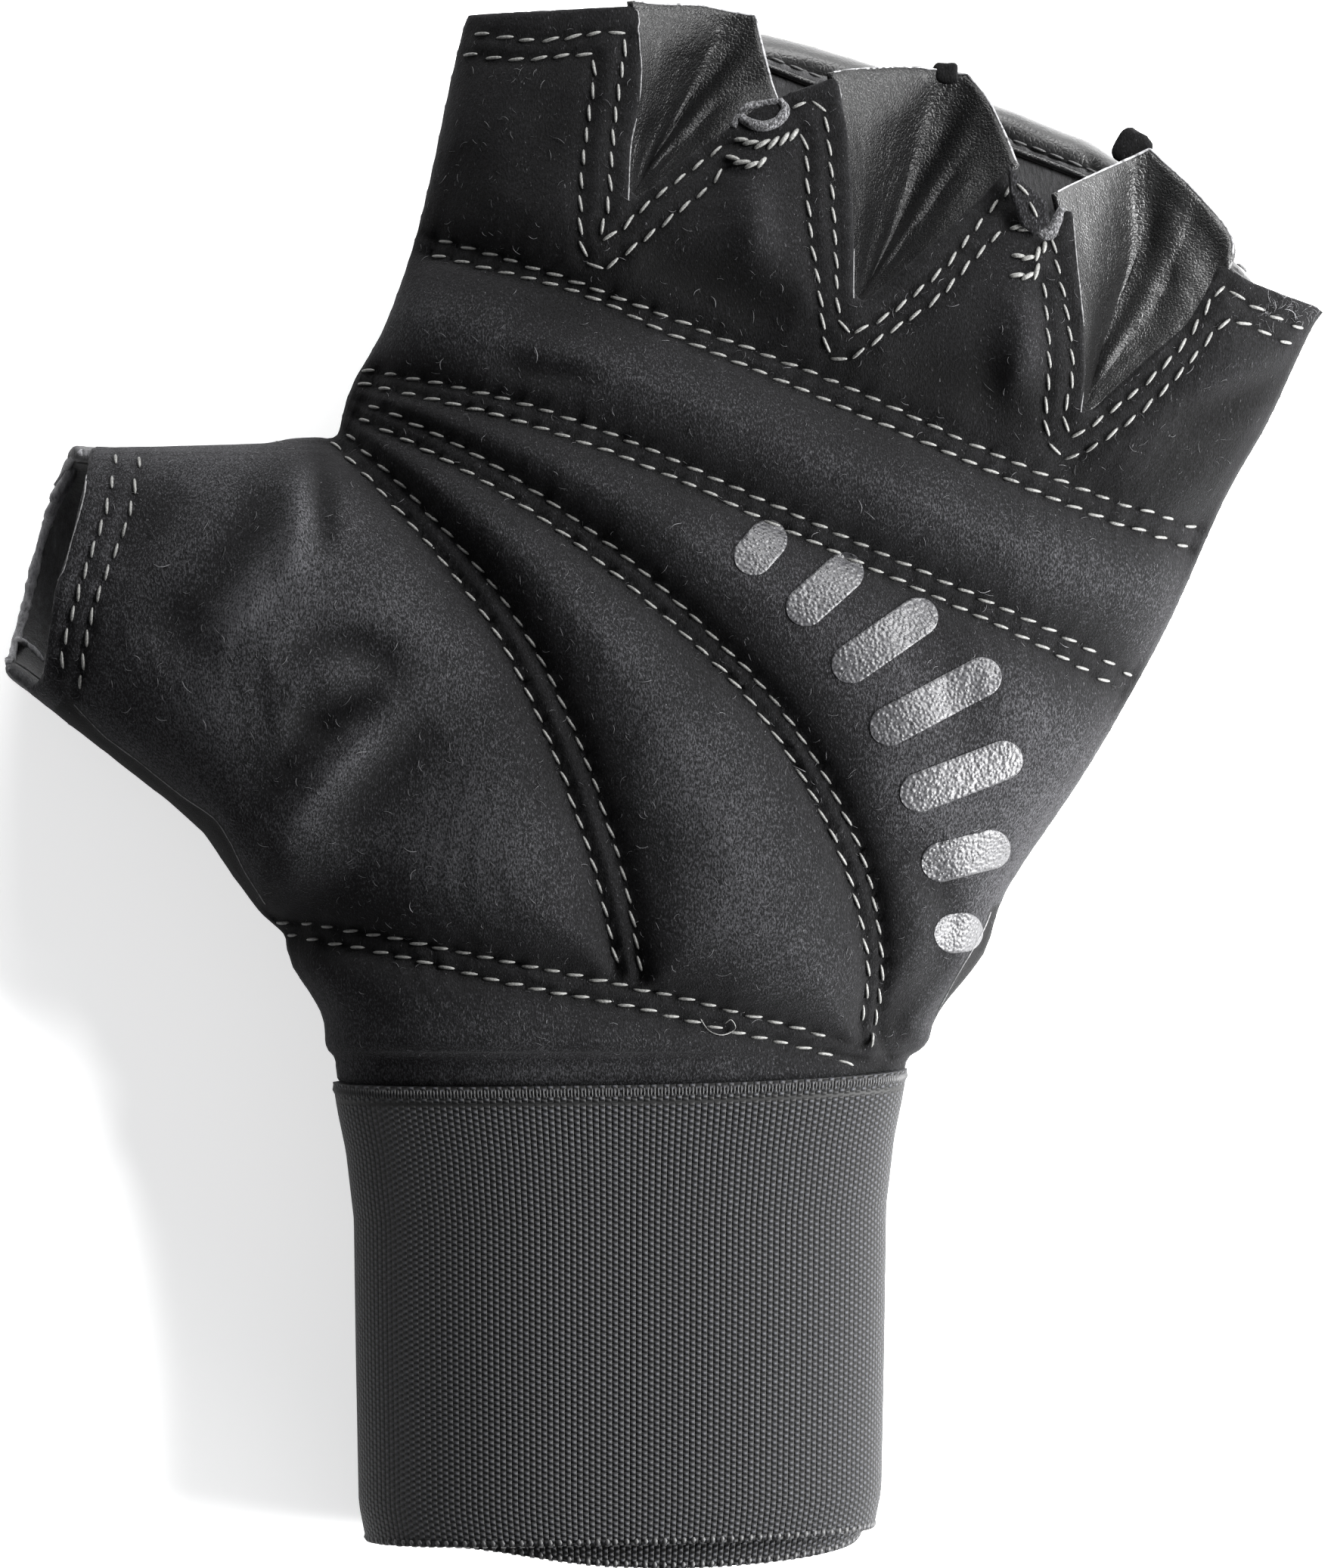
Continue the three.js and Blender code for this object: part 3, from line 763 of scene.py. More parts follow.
@dataclass(frozen=True)
class WovenElastic:
    """Woven elastic webbing: short floats of yarn laid like bricks."""

    name: str = "woven_elastic_webbing"
    column: float = 0.78 * MM
    row: float = 0.8 * MM
    needle_row: float = 58.2 * MM  # height of the dark holes under the yarns of the rim
    # gap is painted shade between the floats and light a painted highlight on their crowns; yarn is the
    # yarn's own colour.
    gap: str = "#020202"
    yarn: str = "#0b0b0c"
    light: str = "#2a2b2f"

    def material(self) -> bpy.types.Material:
        """Return the material, whose offset floats make the brick pattern of webbing."""
        material, tree, shader = start_material(self.name)
        cut = add_node(tree, "ShaderNodeUVMap", uv_map="cut").outputs[0]
        axes = add_node(tree, "ShaderNodeSeparateXYZ", {0: cut})
        rib = self._number(tree, "DIVIDE", axes.outputs["X"], self.column)
        rib_no = self._number(tree, "FLOOR", rib)
        shift = self._number(tree, "MULTIPLY", self._number(tree, "MODULO", rib_no, 2), 0.5)
        run = self._number(tree, "DIVIDE", axes.outputs["Y"], self.row)
        row = self._number(tree, "ADD", run, shift)
        across = self._hump(tree, rib)
        along = self._hump(tree, row)
        woven = self._number(tree, "MULTIPLY", across, self._number(tree, "POWER", along, 2.2))
        below = self._number(
            tree, "ABSOLUTE", self._number(tree, "SUBTRACT", axes.outputs["Y"], self.needle_row)
        )
        near = self._number(tree, "MINIMUM", self._number(tree, "DIVIDE", below, 0.45 * MM), 1.0)
        mound = self._number(tree, "MULTIPLY", woven, self._number(tree, "POWER", near, 1.5))
        twist = add_node(
            tree,
            "ShaderNodeTexNoise",
            {
                "Vector": add_node(
                    tree,
                    "ShaderNodeMapping",
                    {"Vector": cut, "Rotation": (0, 0, 0.7), "Scale": (3400, 900, 1)},
                ).outputs[0],
                "Scale": 1.0,
                "Detail": 2,
            },
        )
        # The colour follows the floats' relief: painted shade in the gaps between floats and a painted
        # highlight on each float's crown; the twist noise gives the yarn's own uneven tone.
        value = self._number(
            tree, "MULTIPLY", mound, self._number(tree, "ADD", twist.outputs["Fac"], 0.35)
        )
        stops = [(0.02, self.gap), (0.42, self.yarn), (0.92, self.light)]
        tree.links.new(shade_ramp(tree, value, stops), shader.inputs["Base Color"])
        bump = add_node(
            tree, "ShaderNodeBump", {"Height": mound, "Strength": 1.0, "Distance": 0.36 * MM}
        )
        tree.links.new(bump.outputs[0], shader.inputs["Normal"])
        shader.inputs["Roughness"].default_value = 0.66
        shader.inputs["Specular IOR Level"].default_value = 0.22
        return material

    @staticmethod
    def _number(
        tree: bpy.types.NodeTree, operation: str, *values: bpy.types.NodeSocket | float
    ) -> bpy.types.NodeSocket:
        """Do one sum on values of the pattern and return its output."""
        made = add_node(tree, "ShaderNodeMath", dict(enumerate(values)), operation=operation)
        return made.outputs[0]

    def _hump(self, tree: bpy.types.NodeTree, value: bpy.types.NodeSocket) -> bpy.types.NodeSocket:
        """Return a round hump over each whole step of a value."""
        turn = self._number(tree, "MULTIPLY", self._number(tree, "FRACT", value), math.pi)
        return self._number(tree, "POWER", self._number(tree, "SINE", turn), 0.55)


@dataclass(frozen=True)
class SpunThread:
    """Polyester sewing thread, light grey, twisted."""

    name: str = "polyester_thread"
    colour: str = "#545452"
    shade: str = "#343433"
    ply: float = 0.28 * MM

    def material(self) -> bpy.types.Material:
        """Return the material. The shaded plies keep the stitches from looking like plastic."""
        material, tree, shader = start_material(self.name)
        place = add_node(tree, "ShaderNodeTexCoord").outputs["Object"]
        plies = add_node(
            tree, "ShaderNodeTexNoise", {"Vector": place, "Scale": 1 / self.ply, "Detail": 2}
        )
        colour = shade_ramp(tree, plies.outputs["Fac"], [(0.35, self.shade), (0.55, self.colour)])
        tree.links.new(colour, shader.inputs["Base Color"])
        bump = add_node(
            tree,
            "ShaderNodeBump",
            {"Height": plies.outputs["Fac"], "Strength": 0.5, "Distance": 0.1 * MM},
        )
        tree.links.new(bump.outputs[0], shader.inputs["Normal"])
        shader.inputs["Roughness"].default_value = 0.6
        return material


@dataclass(frozen=True)
class PrintedFilm:
    """Soft grey film pressed on the suede, with a pebbled gloss and worn specks."""

    name: str = "pressed_polyurethane_film"
    pebble: float = 0.45 * MM
    colour: str = "#2b2b2d"
    worn: str = "#0b0b0c"

    def material(self) -> bpy.types.Material:
        """Return the material. Its gloss breaks up into sparks on the suede's grain."""
        material, tree, shader = start_material(self.name)
        place = add_node(tree, "ShaderNodeTexCoord").outputs["Object"]
        cells = add_node(
            tree,
            "ShaderNodeTexVoronoi",
            {"Vector": place, "Scale": 1 / self.pebble},
            feature="SMOOTH_F1",
        )
        specks = add_node(
            tree,
            "ShaderNodeTexNoise",
            {"Vector": place, "Scale": 1.4 / self.pebble, "Detail": 4, "Roughness": 0.7},
        )
        stops = [(0.38, self.worn), (0.48, self.colour), (0.76, "#39393b")]
        tree.links.new(shade_ramp(tree, specks.outputs["Fac"], stops), shader.inputs["Base Color"])
        bump = add_node(
            tree,
            "ShaderNodeBump",
            {"Height": cells.outputs["Distance"], "Strength": 1.0, "Distance": -0.22 * MM},
        )
        tree.links.new(bump.outputs[0], shader.inputs["Normal"])
        shader.inputs["Roughness"].default_value = 0.44
        shader.inputs["Specular IOR Level"].default_value = 0.36
        return material


@dataclass(frozen=True)
class MattPaint:
    """Opal table lit from under, as product pictures use."""

    name: str = "opal_light_table"
    colour: str = "#f4f4f4"
    glow: float = 0.5

    def material(self) -> bpy.types.Material:
        """Return the material. Its glow keeps the glove's shadow faint."""
        material, _, shader = start_material(self.name)
        shader.inputs["Base Color"].default_value = linear(self.colour)
        shader.inputs["Roughness"].default_value = 0.9
        shader.inputs["Emission Color"].default_value = linear("#ffffff")
        shader.inputs["Emission Strength"].default_value = self.glow
        return material


def finish_piece(
    piece: bpy.types.Object, material: bpy.types.Material, slot: Slot, *nodes: str
) -> bpy.types.Object:
    """Dress a piece and tie it to the frame.

    Args:
        piece: The finished piece.
        material: Its material.
        slot: Not used.
        *nodes: CAD nodes that it stands for.

    Returns:
        The same piece.
    """
    piece.data.materials.clear()
    piece.data.materials.append(material)
    shade_smooth(piece)
    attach(piece, BODY)
    if nodes:
        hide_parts(*nodes)
    log.info("%s: %d faces", piece.name, len(piece.data.polygons))
    return piece


# Stitching, as the pixels of the picture that each line of stitches passes

QUILT_LINES: dict[str, list[Point]] = {
    "fingers_upper": [
        (548, 309), (671, 345), (793, 387), (945, 447),
        (1117, 514), (1308, 601), (1464, 662), (1597, 704),
    ],
    "fingers_lower": [
        (540, 328), (646, 357), (770, 391), (890, 447),
        (1038, 509), (1249, 600), (1411, 670), (1576, 727),
    ],
    "knuckles_upper": [
        (475, 489), (608, 515), (727, 547), (842, 590), (955, 640), (1124, 716), (1284, 788),
        (1432, 857), (1500, 899),
    ],
    "knuckles_lower": [
        (469, 506), (585, 533), (693, 562), (801, 598), (909, 642), (1060, 713), (1209, 779),
        (1353, 845), (1492, 918),
    ],
    "lifeline_right": [
        (456, 523), (547, 561), (656, 619), (758, 687), (857, 763), (946, 846), (1028, 933),
        (1094, 1035), (1142, 1144), (1164, 1259), (1162, 1314), (1145, 1395),
    ],
    "lifeline_left": [
        (445, 539), (523, 576), (630, 632), (732, 698), (827, 772), (918, 852), (1003, 942),
        (1070, 1046), (1120, 1157), (1146, 1274), (1141, 1333), (1129, 1377),
    ],
    "thumb_right": [
        (433, 549), (482, 595), (572, 684), (654, 776), (719, 879), (770, 991), (805, 1090),
        (828, 1169), (850, 1299),
    ],
    "thumb_left": [
        (434, 580), (524, 673), (597, 756), (664, 849),
        (718, 959), (765, 1080), (790, 1160), (821, 1293),
    ],
    "heel_upper": [
        (363, 1214), (518, 1239), (649, 1266), (813, 1299), (953, 1331), (1086, 1368), (1120, 1381),
    ],
    "heel_lower": [
        (373, 1234), (517, 1261), (669, 1298), (831, 1329), (965, 1362), (1089, 1392), (1133, 1412),
    ],
}

EDGE_LINES: dict[str, list[Point]] = {
    "index_near": [
        (624, 44), (703, 56), (773, 50), (822, 44), (828, 53), (824, 84), (814, 154), (808, 224),
        (804, 281), (794, 311), (796, 320), (820, 309), (855, 275), (909, 233), (963, 191),
    ],
    "index_far": [
        (609, 72), (679, 81), (754, 76), (782, 74), (787, 95), (780, 152), (772, 216), (768, 286),
        (770, 328), (789, 361), (838, 330), (892, 288), (944, 244), (958, 224),
    ],
    "middle_near": [
        (1044, 147), (1083, 137), (1089, 151), (1097, 222), (1104, 356), (1106, 400), (1116, 443),
        (1162, 427), (1204, 396), (1253, 351), (1299, 292), (1342, 243),
    ],
    "middle_far": [
        (1058, 177), (1064, 188), (1067, 253), (1071, 317), (1081, 376), (1103, 481), (1170, 445),
        (1238, 398), (1281, 351), (1326, 306),
    ],
    "ring_side": [(1349, 250), (1364, 282)],
    "ring_near": [
        (1388, 313), (1395, 353), (1407, 413), (1415, 504), (1404, 553), (1414, 580), (1454, 555),
        (1510, 511), (1561, 459), (1598, 402), (1612, 381), (1651, 406), (1707, 431), (1735, 441),
    ],
    "ring_far": [
        (1377, 374), (1381, 424), (1384, 487), (1382, 578), (1406, 609), (1440, 594), (1502, 550),
        (1552, 501), (1603, 441), (1612, 427), (1647, 431), (1696, 455), (1724, 462),
    ],
    "thumb_outer": [
        (157, 597), (146, 666), (130, 718), (113, 765), (100, 812), (87, 865), (84, 912),
    ],
    "thumb_inner": [(188, 601), (172, 689), (153, 737), (134, 787), (119, 840), (107, 918)],
}


@dataclass(frozen=True)
class Fold:
    """A dent or a ridge of the suede, tapered at both ends."""

    points: tuple[Point, ...]
    depth: float  # into the palm, or out of it if negative
    width: float


FOLDS = (
    # the thumb and its root
    Fold(((428, 592), (427, 650), (431, 722)), 1.9 * MM, 1.5 * MM),
    Fold(((367, 638), (321, 729), (241, 830)), 2.0 * MM, 3.4 * MM),
    Fold(((250, 640), (205, 690), (160, 760)), 1.2 * MM, 3.0 * MM),
    Fold(((222, 800), (240, 836), (262, 860)), 1.2 * MM, 3.2 * MM),
    Fold(((360, 720), (340, 770), (285, 860)), -1.1 * MM, 2.6 * MM),
    Fold(((398, 610), (395, 690), (380, 770)), -1.2 * MM, 2.0 * MM),
    Fold(((362, 880), (440, 850), (530, 882)), 2.0 * MM, 2.8 * MM),
    Fold(((385, 930), (450, 950), (515, 915)), 2.0 * MM, 3.2 * MM),
    Fold(((448, 953), (395, 1022), (344, 1091)), 2.5 * MM, 4.2 * MM),
    Fold(((534, 913), (440, 1015), (344, 1122)), -1.6 * MM, 2.8 * MM),
    Fold(((580, 950), (505, 1035), (436, 1114)), 1.9 * MM, 4.2 * MM),
    Fold(((330, 880), (345, 960), (320, 1040)), 1.0 * MM, 3.6 * MM),
    # between the fingers' roots
    Fold(((840, 345), (940, 375), (1050, 430)), 2.0 * MM, 4.0 * MM),
    Fold(((985, 235), (995, 290), (1005, 345)), -1.6 * MM, 2.8 * MM),
    Fold(((1165, 480), (1270, 505), (1370, 560)), 1.2 * MM, 4.2 * MM),
    Fold(((1345, 390), (1352, 450), (1340, 520)), -1.8 * MM, 2.6 * MM),
    Fold(((1296, 440), (1306, 510), (1300, 580)), 0.5 * MM, 2.6 * MM),
    Fold(((1390, 600), (1420, 620), (1480, 640)), 1.2 * MM, 3.0 * MM),
    Fold(((1540, 575), (1630, 530), (1725, 480)), 1.6 * MM, 2.4 * MM),
    Fold(((1500, 640), (1580, 600), (1660, 575)), 1.0 * MM, 3.0 * MM),
    Fold(((1560, 520), (1640, 495), (1725, 455)), -0.8 * MM, 2.0 * MM),
    # the index finger's root
    Fold(((660, 486), (720, 494), (780, 500)), 1.3 * MM, 1.6 * MM),
    Fold(((640, 440), (740, 425), (860, 445)), 1.0 * MM, 4.0 * MM),
    Fold(((680, 270), (715, 200), (735, 120)), 1.0 * MM, 4.5 * MM),
    Fold(((590, 200), (610, 240), (600, 290)), 0.8 * MM, 4.0 * MM),
    # the heel at the little finger's side
    Fold(((1200, 800), (1255, 900), (1285, 1010)), 0.9 * MM, 4.0 * MM),
    Fold(((1215, 1130), (1250, 1210), (1235, 1290)), 1.4 * MM, 2.6 * MM),
    Fold(((1170, 1395), (1185, 1345), (1240, 1285)), 1.4 * MM, 2.2 * MM),
)


@dataclass
class PalmPanel:
    """The padded suede palm, pulled down along its twin rows of stitches."""

    voxel: float = 0.8 * MM
    rounds: int = 34
    quilt_pull: float = 3.4 * MM  # crowns stand this far above the seams
    quilt_reach: float = 4.6 * MM
    groove: float = 0.5 * MM  # the thread pulls itself into the suede
    groove_width: float = 0.8 * MM
    edge_pull: float = 0.9 * MM
    edge_reach: float = 3.4 * MM
    pitch: float = 3.0 * MM
    full_rise: float = 6 * MM  # above the side seam, to where the relief is full
    slack: float = 0.22 * MM
    sliver_step: float = 0.7 * MM  # the back shows this far under the thumb's lower seam
    lobe_line: Point = (-33 * MM, 73 * MM)  # past this line the finger lobes get painted shade, a darker colour
    lobe_slope: float = 0.377
    lobe_shade: float = 0.6
    lobe_fade: float = 7 * MM

    def build(self) -> bpy.types.Object:
        """Build the palm.

        Returns:
            The finished piece, which stands for the CAD node of the same name.
        """
        piece = even_copy("palm_panel", "suede_palm", self.voxel)
        relax(piece, self.rounds)
        points = get_points(piece.data)
        quilt = NearestLine([smooth_line(plan(p), 0.4 * MM) for p in QUILT_LINES.values()])
        edges = NearestLine([smooth_line(plan(p), 0.4 * MM) for p in EDGE_LINES.values()])
        far, run = quilt.measure(points)
        near, edge_run = edges.measure(points)
        broad = self.quilt_pull * np.exp(-far / self.quilt_reach)
        pull = np.maximum(broad, self.edge_pull * np.exp(-near / self.edge_reach))
        pull += self._puckers(far, run) + 0.7 * self._puckers(near, edge_run)
        for fold in FOLDS:
            pull += self._fold(points, fold)
        seams = ("thumb_seam", "heel_seam")
        hems = [smooth_line(plan(TRIM_LINES[name]), 0.4 * MM) for name in seams]
        sliver = np.maximum(right_of(points, hems[0]), right_of(points, hems[1]))
        close = np.exp(-np.minimum(far, near) / (4 * MM))
        pull += self.slack * (1 + close) * ripple(points, 11 * MM, 3.1)
        pull += 0.4 * self.slack * (0.4 + 1.4 * close) * ripple(points, 3.4 * MM, 8.2)
        rise = np.clip((points[:, 2] - SEAM_LEVEL - MM) / self.full_rise, 0, 1)
        over_rim = np.clip((points[:, 1] - CUFF_RIM) / (4 * MM), 0, 1)
        points[:, 2] -= pull * rise * over_rim
        points[:, 2] -= self.sliver_step * np.clip((sliver + 0.3 * MM) / (0.7 * MM), 0, 1) * (
            points[:, 2] > SEAM_LEVEL + 1.5 * MM
        )
        meet_cuff(points)
        set_points(piece.data, points)
        relax(piece, 1)
        # Painted shade: crown falls where the seams pull the suede down, so its colour darkens in the
        # quilting's valleys and beside the stitches.
        crown = np.clip(1.15 - 0.8 * pull / self.quilt_pull, 0.0, 1.3)
        # Painted shade: the finger lobes past the lobe line are darkened.
        lobe_x, lobe_y = self.lobe_line
        beyond = points[:, 1] - lobe_y + self.lobe_slope * (points[:, 0] - lobe_x)
        crown -= self.lobe_shade * np.clip(beyond / self.lobe_fade, 0, 1)
        # Painted shade: past the thumb's and heel's seams the suede is coloured near black, the shadow
        # in the gap there.
        crown -= 1.6 * np.clip((sliver + 0.2 * MM) / (0.5 * MM), 0, 1)
        set_attribute(piece.data, "crown", crown)
        return finish_piece(piece, BrushedSuede().material(), Slot.SUEDE, "palm_panel")

    def _puckers(self, distance: np.ndarray, run: np.ndarray) -> np.ndarray:
        """Return the groove under a line of stitches, deepest at each needle hole."""
        shape = np.exp(-((distance / self.groove_width) ** 2))
        return self.groove * shape * (1 + 0.45 * np.cos(2 * math.pi * run / self.pitch))

    @staticmethod
    def _fold(points: np.ndarray, fold: Fold) -> np.ndarray:
        """Return how far one fold pulls each point."""
        line = smooth_line(plan(fold.points), 0.5 * MM)
        distance, run = NearestLine([line]).measure(points)
        share = run / (len(line) * 0.5 * MM)
        taper = np.sin(math.pi * np.clip(share, 0.02, 0.98)) ** 0.5
        return fold.depth * taper * np.exp(-((distance / fold.width) ** 2))


def sew(surface: Surface, line: np.ndarray, kind: Stitch, number: int) -> list[Matrix]:
    """Place stitches at their pitch along one line.

    Args:
        surface: What is sewn.
        line: Plan points of the line, a tenth of a millimetre apart.
        kind: The stitches' sizes.
        number: Makes each line's unevenness its own.

    Returns:
        The place of each stitch.
    """
    step = 0.1 * MM
    places = []
    for k in range(int(len(line) * step / kind.pitch)):
        jitter = noise.noise(Vector((k * 1.7, number * 3.3, 0.5)))
        middle = (k + 0.5 + 0.5 * kind.unevenness * jitter) * kind.pitch
        half = kind.length / 2 * (1 + kind.unevenness * jitter)
        ends = [int(np.clip((middle + side * half) / step, 0, len(line) - 1)) for side in (-1, 1)]
        if ends[1] - ends[0] < 6:
            continue
        start, normal_a = surface.top(*line[ends[0]])
        stop, normal_b = surface.top(*line[ends[1]])
        if abs(start.x - line[ends[0]][0]) + abs(stop.x - line[ends[1]][0]) > 0.3 * MM:
            continue
        crest = surface.top(*line[(ends[0] + ends[1]) // 2])[0]
        up = (normal_a + normal_b + Vector((0, 0, 0.6))).normalized()
        ahead = (stop - start).normalized()
        side = up.cross(ahead).normalized()
        up = ahead.cross(side)
        turn = Matrix((ahead, side, up)).transposed().to_4x4()
        lean = Matrix.Rotation(math.radians(kind.slant * (1 + 0.6 * jitter)), 4, "Z")
        size = Matrix.Diagonal((half, kind.radius, kind.radius, 1))
        bow = max(0.0, crest.z - (start.z + stop.z) / 2)
        middle_point = (start + stop) / 2 + up * (kind.lift + bow)
        places.append(Matrix.Translation(middle_point) @ turn @ lean @ size)
    return places


@dataclass
class Stitching:
    """All lockstitches that show on the palm."""

    surface: Surface
    kind: Stitch = Stitch()

    def build(self) -> bpy.types.Object:
        """Build every stitch as one piece.

        Returns:
            The finished piece.
        """
        places = []
        for number, points in enumerate([*QUILT_LINES.values(), *EDGE_LINES.values()]):
            places += sew(self.surface, smooth_line(plan(points), 0.1 * MM), self.kind, number)
        template = stitch_template()
        piece = stamp("lockstitches", template, places)
        template.free()
        return finish_piece(piece, SpunThread().material(), Slot.ELASTIC)


TRIM_LINES: dict[str, list[Point]] = {
    "index_slit": [(843, 13), (850, 84), (846, 140), (835, 191), (831, 269)],
    "middle_slit": [(1107, 107), (1120, 182), (1127, 238), (1128, 281), (1127, 398)],
    "ring_slit": [(1416, 278), (1421, 343), (1428, 413), (1433, 483), (1426, 548)],
    "thumb_edge": [
        (117, 630), (114, 657), (97, 721), (88, 754), (76, 780), (69, 824), (63, 868), (60, 891),
    ],
    "thumb_seam": [
        (100, 932), (141, 974), (176, 1000), (242, 1052), (287, 1084), (306, 1112), (325, 1151),
        (352, 1195),
    ],
    "heel_seam": [(1240, 1336), (1262, 1294), (1288, 1250), (1303, 1222), (1309, 1206)],
}


@dataclass
class TrimmedEdges:
    """The pale core of the suede where it is cut."""

    surface: Surface
    radius: float = 0.13 * MM
    sides: int = 6

    def build(self) -> bpy.types.Object:
        """Build the thin pale lines.

        Returns:
            The finished piece.
        """
        bm = bmesh.new()
        for points in TRIM_LINES.values():
            line = smooth_line(plan(points), 0.5 * MM)
            path = np.array([self.surface.top(x, y)[0] for x, y in line])
            path[1:-1, 2] = (path[:-2, 2] + path[1:-1, 2] + path[2:, 2]) / 3
            shares = ripple(path, 1.3 * MM)
            sweep(bm, path, self.radius * (1 + 0.5 * shares), self.sides)
        piece = from_bmesh("trimmed_edges", bm)
        finish = SpunThread(name="suede_cut_edge", colour="#4c4c4d", shade="#1f1f20", ply=0.5 * MM)
        return finish_piece(piece, finish.material(), Slot.SUEDE)


@dataclass
class ThumbRim:
    """The raw, fuzzy edge of the back round the thumb opening."""

    back: Surface
    rims: tuple[tuple[tuple[Point, ...], float], ...] = (
        # the path, and the radius in millimetres
        (
            (
                (108, 598), (92, 608), (74, 645), (61, 685),
                (49, 725), (39, 765), (30, 805), (19, 845),
                (11, 878),
            ),
            0.75,
        ),
        (((12, 886), (9, 868), (20, 847), (38, 856), (55, 874)), 0.5),
    )

    def build(self) -> bpy.types.Object:
        """Build the raw edge.

        Returns:
            The finished piece.
        """
        bm = bmesh.new()
        for points, radius in self.rims:
            line = smooth_line(plan(points), 0.45 * MM)
            path = np.array([self.back.top(x, y)[0] for x, y in line])
            for _ in range(6):
                path[1:-1, 2] = (path[:-2, 2] + path[1:-1, 2] + path[2:, 2]) / 3
            shares = ripple(path, 1.1 * MM)
            taper = np.sin(np.linspace(0.25, math.pi - 0.25, len(path))) ** 0.4
            sweep(bm, path, radius * MM * (1 + 0.3 * shares) * taper, 9)
        piece = from_bmesh("thumb_raw_edge", bm)
        finish = FuzzyLining(name="brushed_knit_raw_edge", ground="#1c1c1d", lint="#77777a")
        finish_piece(piece, finish.material(), Slot.LEATHER)
        set_attribute(piece.data, "edge", np.ones(len(piece.data.vertices)))
        return piece


@dataclass
class Lint:
    """Loose pale fibres on the suede."""

    surface: Surface
    name: str = "suede_lint"
    box: tuple[float, float, float, float] = (-84, 86, -36, 101)  # left, right, low, high in mm
    count: int = 1800
    length: float = 0.8 * MM
    radius: float = 0.028 * MM
    colour: str = "#404042"
    seed: int = 7

    def build(self) -> bpy.types.Object:
        """Scatter the fibres.

        Returns:
            The finished piece.
        """
        rng = np.random.default_rng(self.seed)
        places = []
        while len(places) < self.count:
            x, y = rng.uniform(*self.box[:2]) * MM, rng.uniform(*self.box[2:]) * MM
            point, normal = self.surface.top(x, y)
            if abs(point.x - x) > 1e-6 or normal.z < 0.2:
                continue
            long = self.length * rng.lognormal(0, 0.35)
            turn = normal.to_track_quat("Z", "Y").to_matrix().to_4x4()
            spin = Matrix.Rotation(rng.uniform(0, 2 * math.pi), 4, "Z")
            tilt = Matrix.Rotation(rng.uniform(-0.25, 0.1), 4, "Y")
            size = Matrix.Diagonal((long, long * rng.uniform(-1, 1), long, 1))
            place = Matrix.Translation(point + normal * 0.05 * MM)
            places.append(place @ turn @ spin @ tilt @ size)
        template = bmesh.new()
        bends = np.linspace(0, 1, 6)
        path = np.column_stack([bends, 0.28 * np.sin(2.6 * bends), 0.1 * np.sin(math.pi * bends)])
        thin = self.radius / self.length
        sweep(template, path, thin * np.array([0.7, 1, 1, 0.9, 0.7, 0.4]), 3)
        piece = stamp(self.name, template, places)
        template.free()
        finish = SpunThread(name=f"{self.name}_fibres", colour=self.colour, shade="#2c2c2e")
        return finish_piece(piece, finish.material(), Slot.SUEDE)


@dataclass
class BackPanel:
    """The leather back with its brushed lining, seen at the openings and from below."""

    voxel: float = 1.0 * MM
    rounds: int = 12

    def build(self) -> bpy.types.Object:
        """Build the back.

        Returns:
            The finished piece, which stands for the CAD node of the same name.
        """
        piece = even_copy("back_panel", "leather_back", self.voxel)
        relax(piece, self.rounds, "xyz", 0.3)
        points = get_points(piece.data)
        points[:, 2] += 0.25 * MM * ripple(points, 7 * MM, 5.5)
        meet_cuff(points)
        points[:, 2] = np.maximum(points[:, 2], 0)
        set_points(piece.data, points)
        edge = np.clip((points[:, 2] - SEAM_LEVEL + 2.2 * MM) / (2 * MM), 0, 1)
        set_attribute(piece.data, "edge", edge)
        finish_piece(piece, PebbledLeather(roughness=0.5).material(), Slot.LEATHER, "back_panel")
        self._line(piece)
        return piece

    @staticmethod
    def _line(piece: bpy.types.Object) -> None:
        """Give the inside and the cut edge of the back its lining."""
        mesh = piece.data
        mesh.materials.append(FuzzyLining().material())
        for face in mesh.polygons:
            inside = face.normal.z > 0.12 or face.center.z > SEAM_LEVEL - 1.3 * MM
            face.material_index = 1 if inside else 0


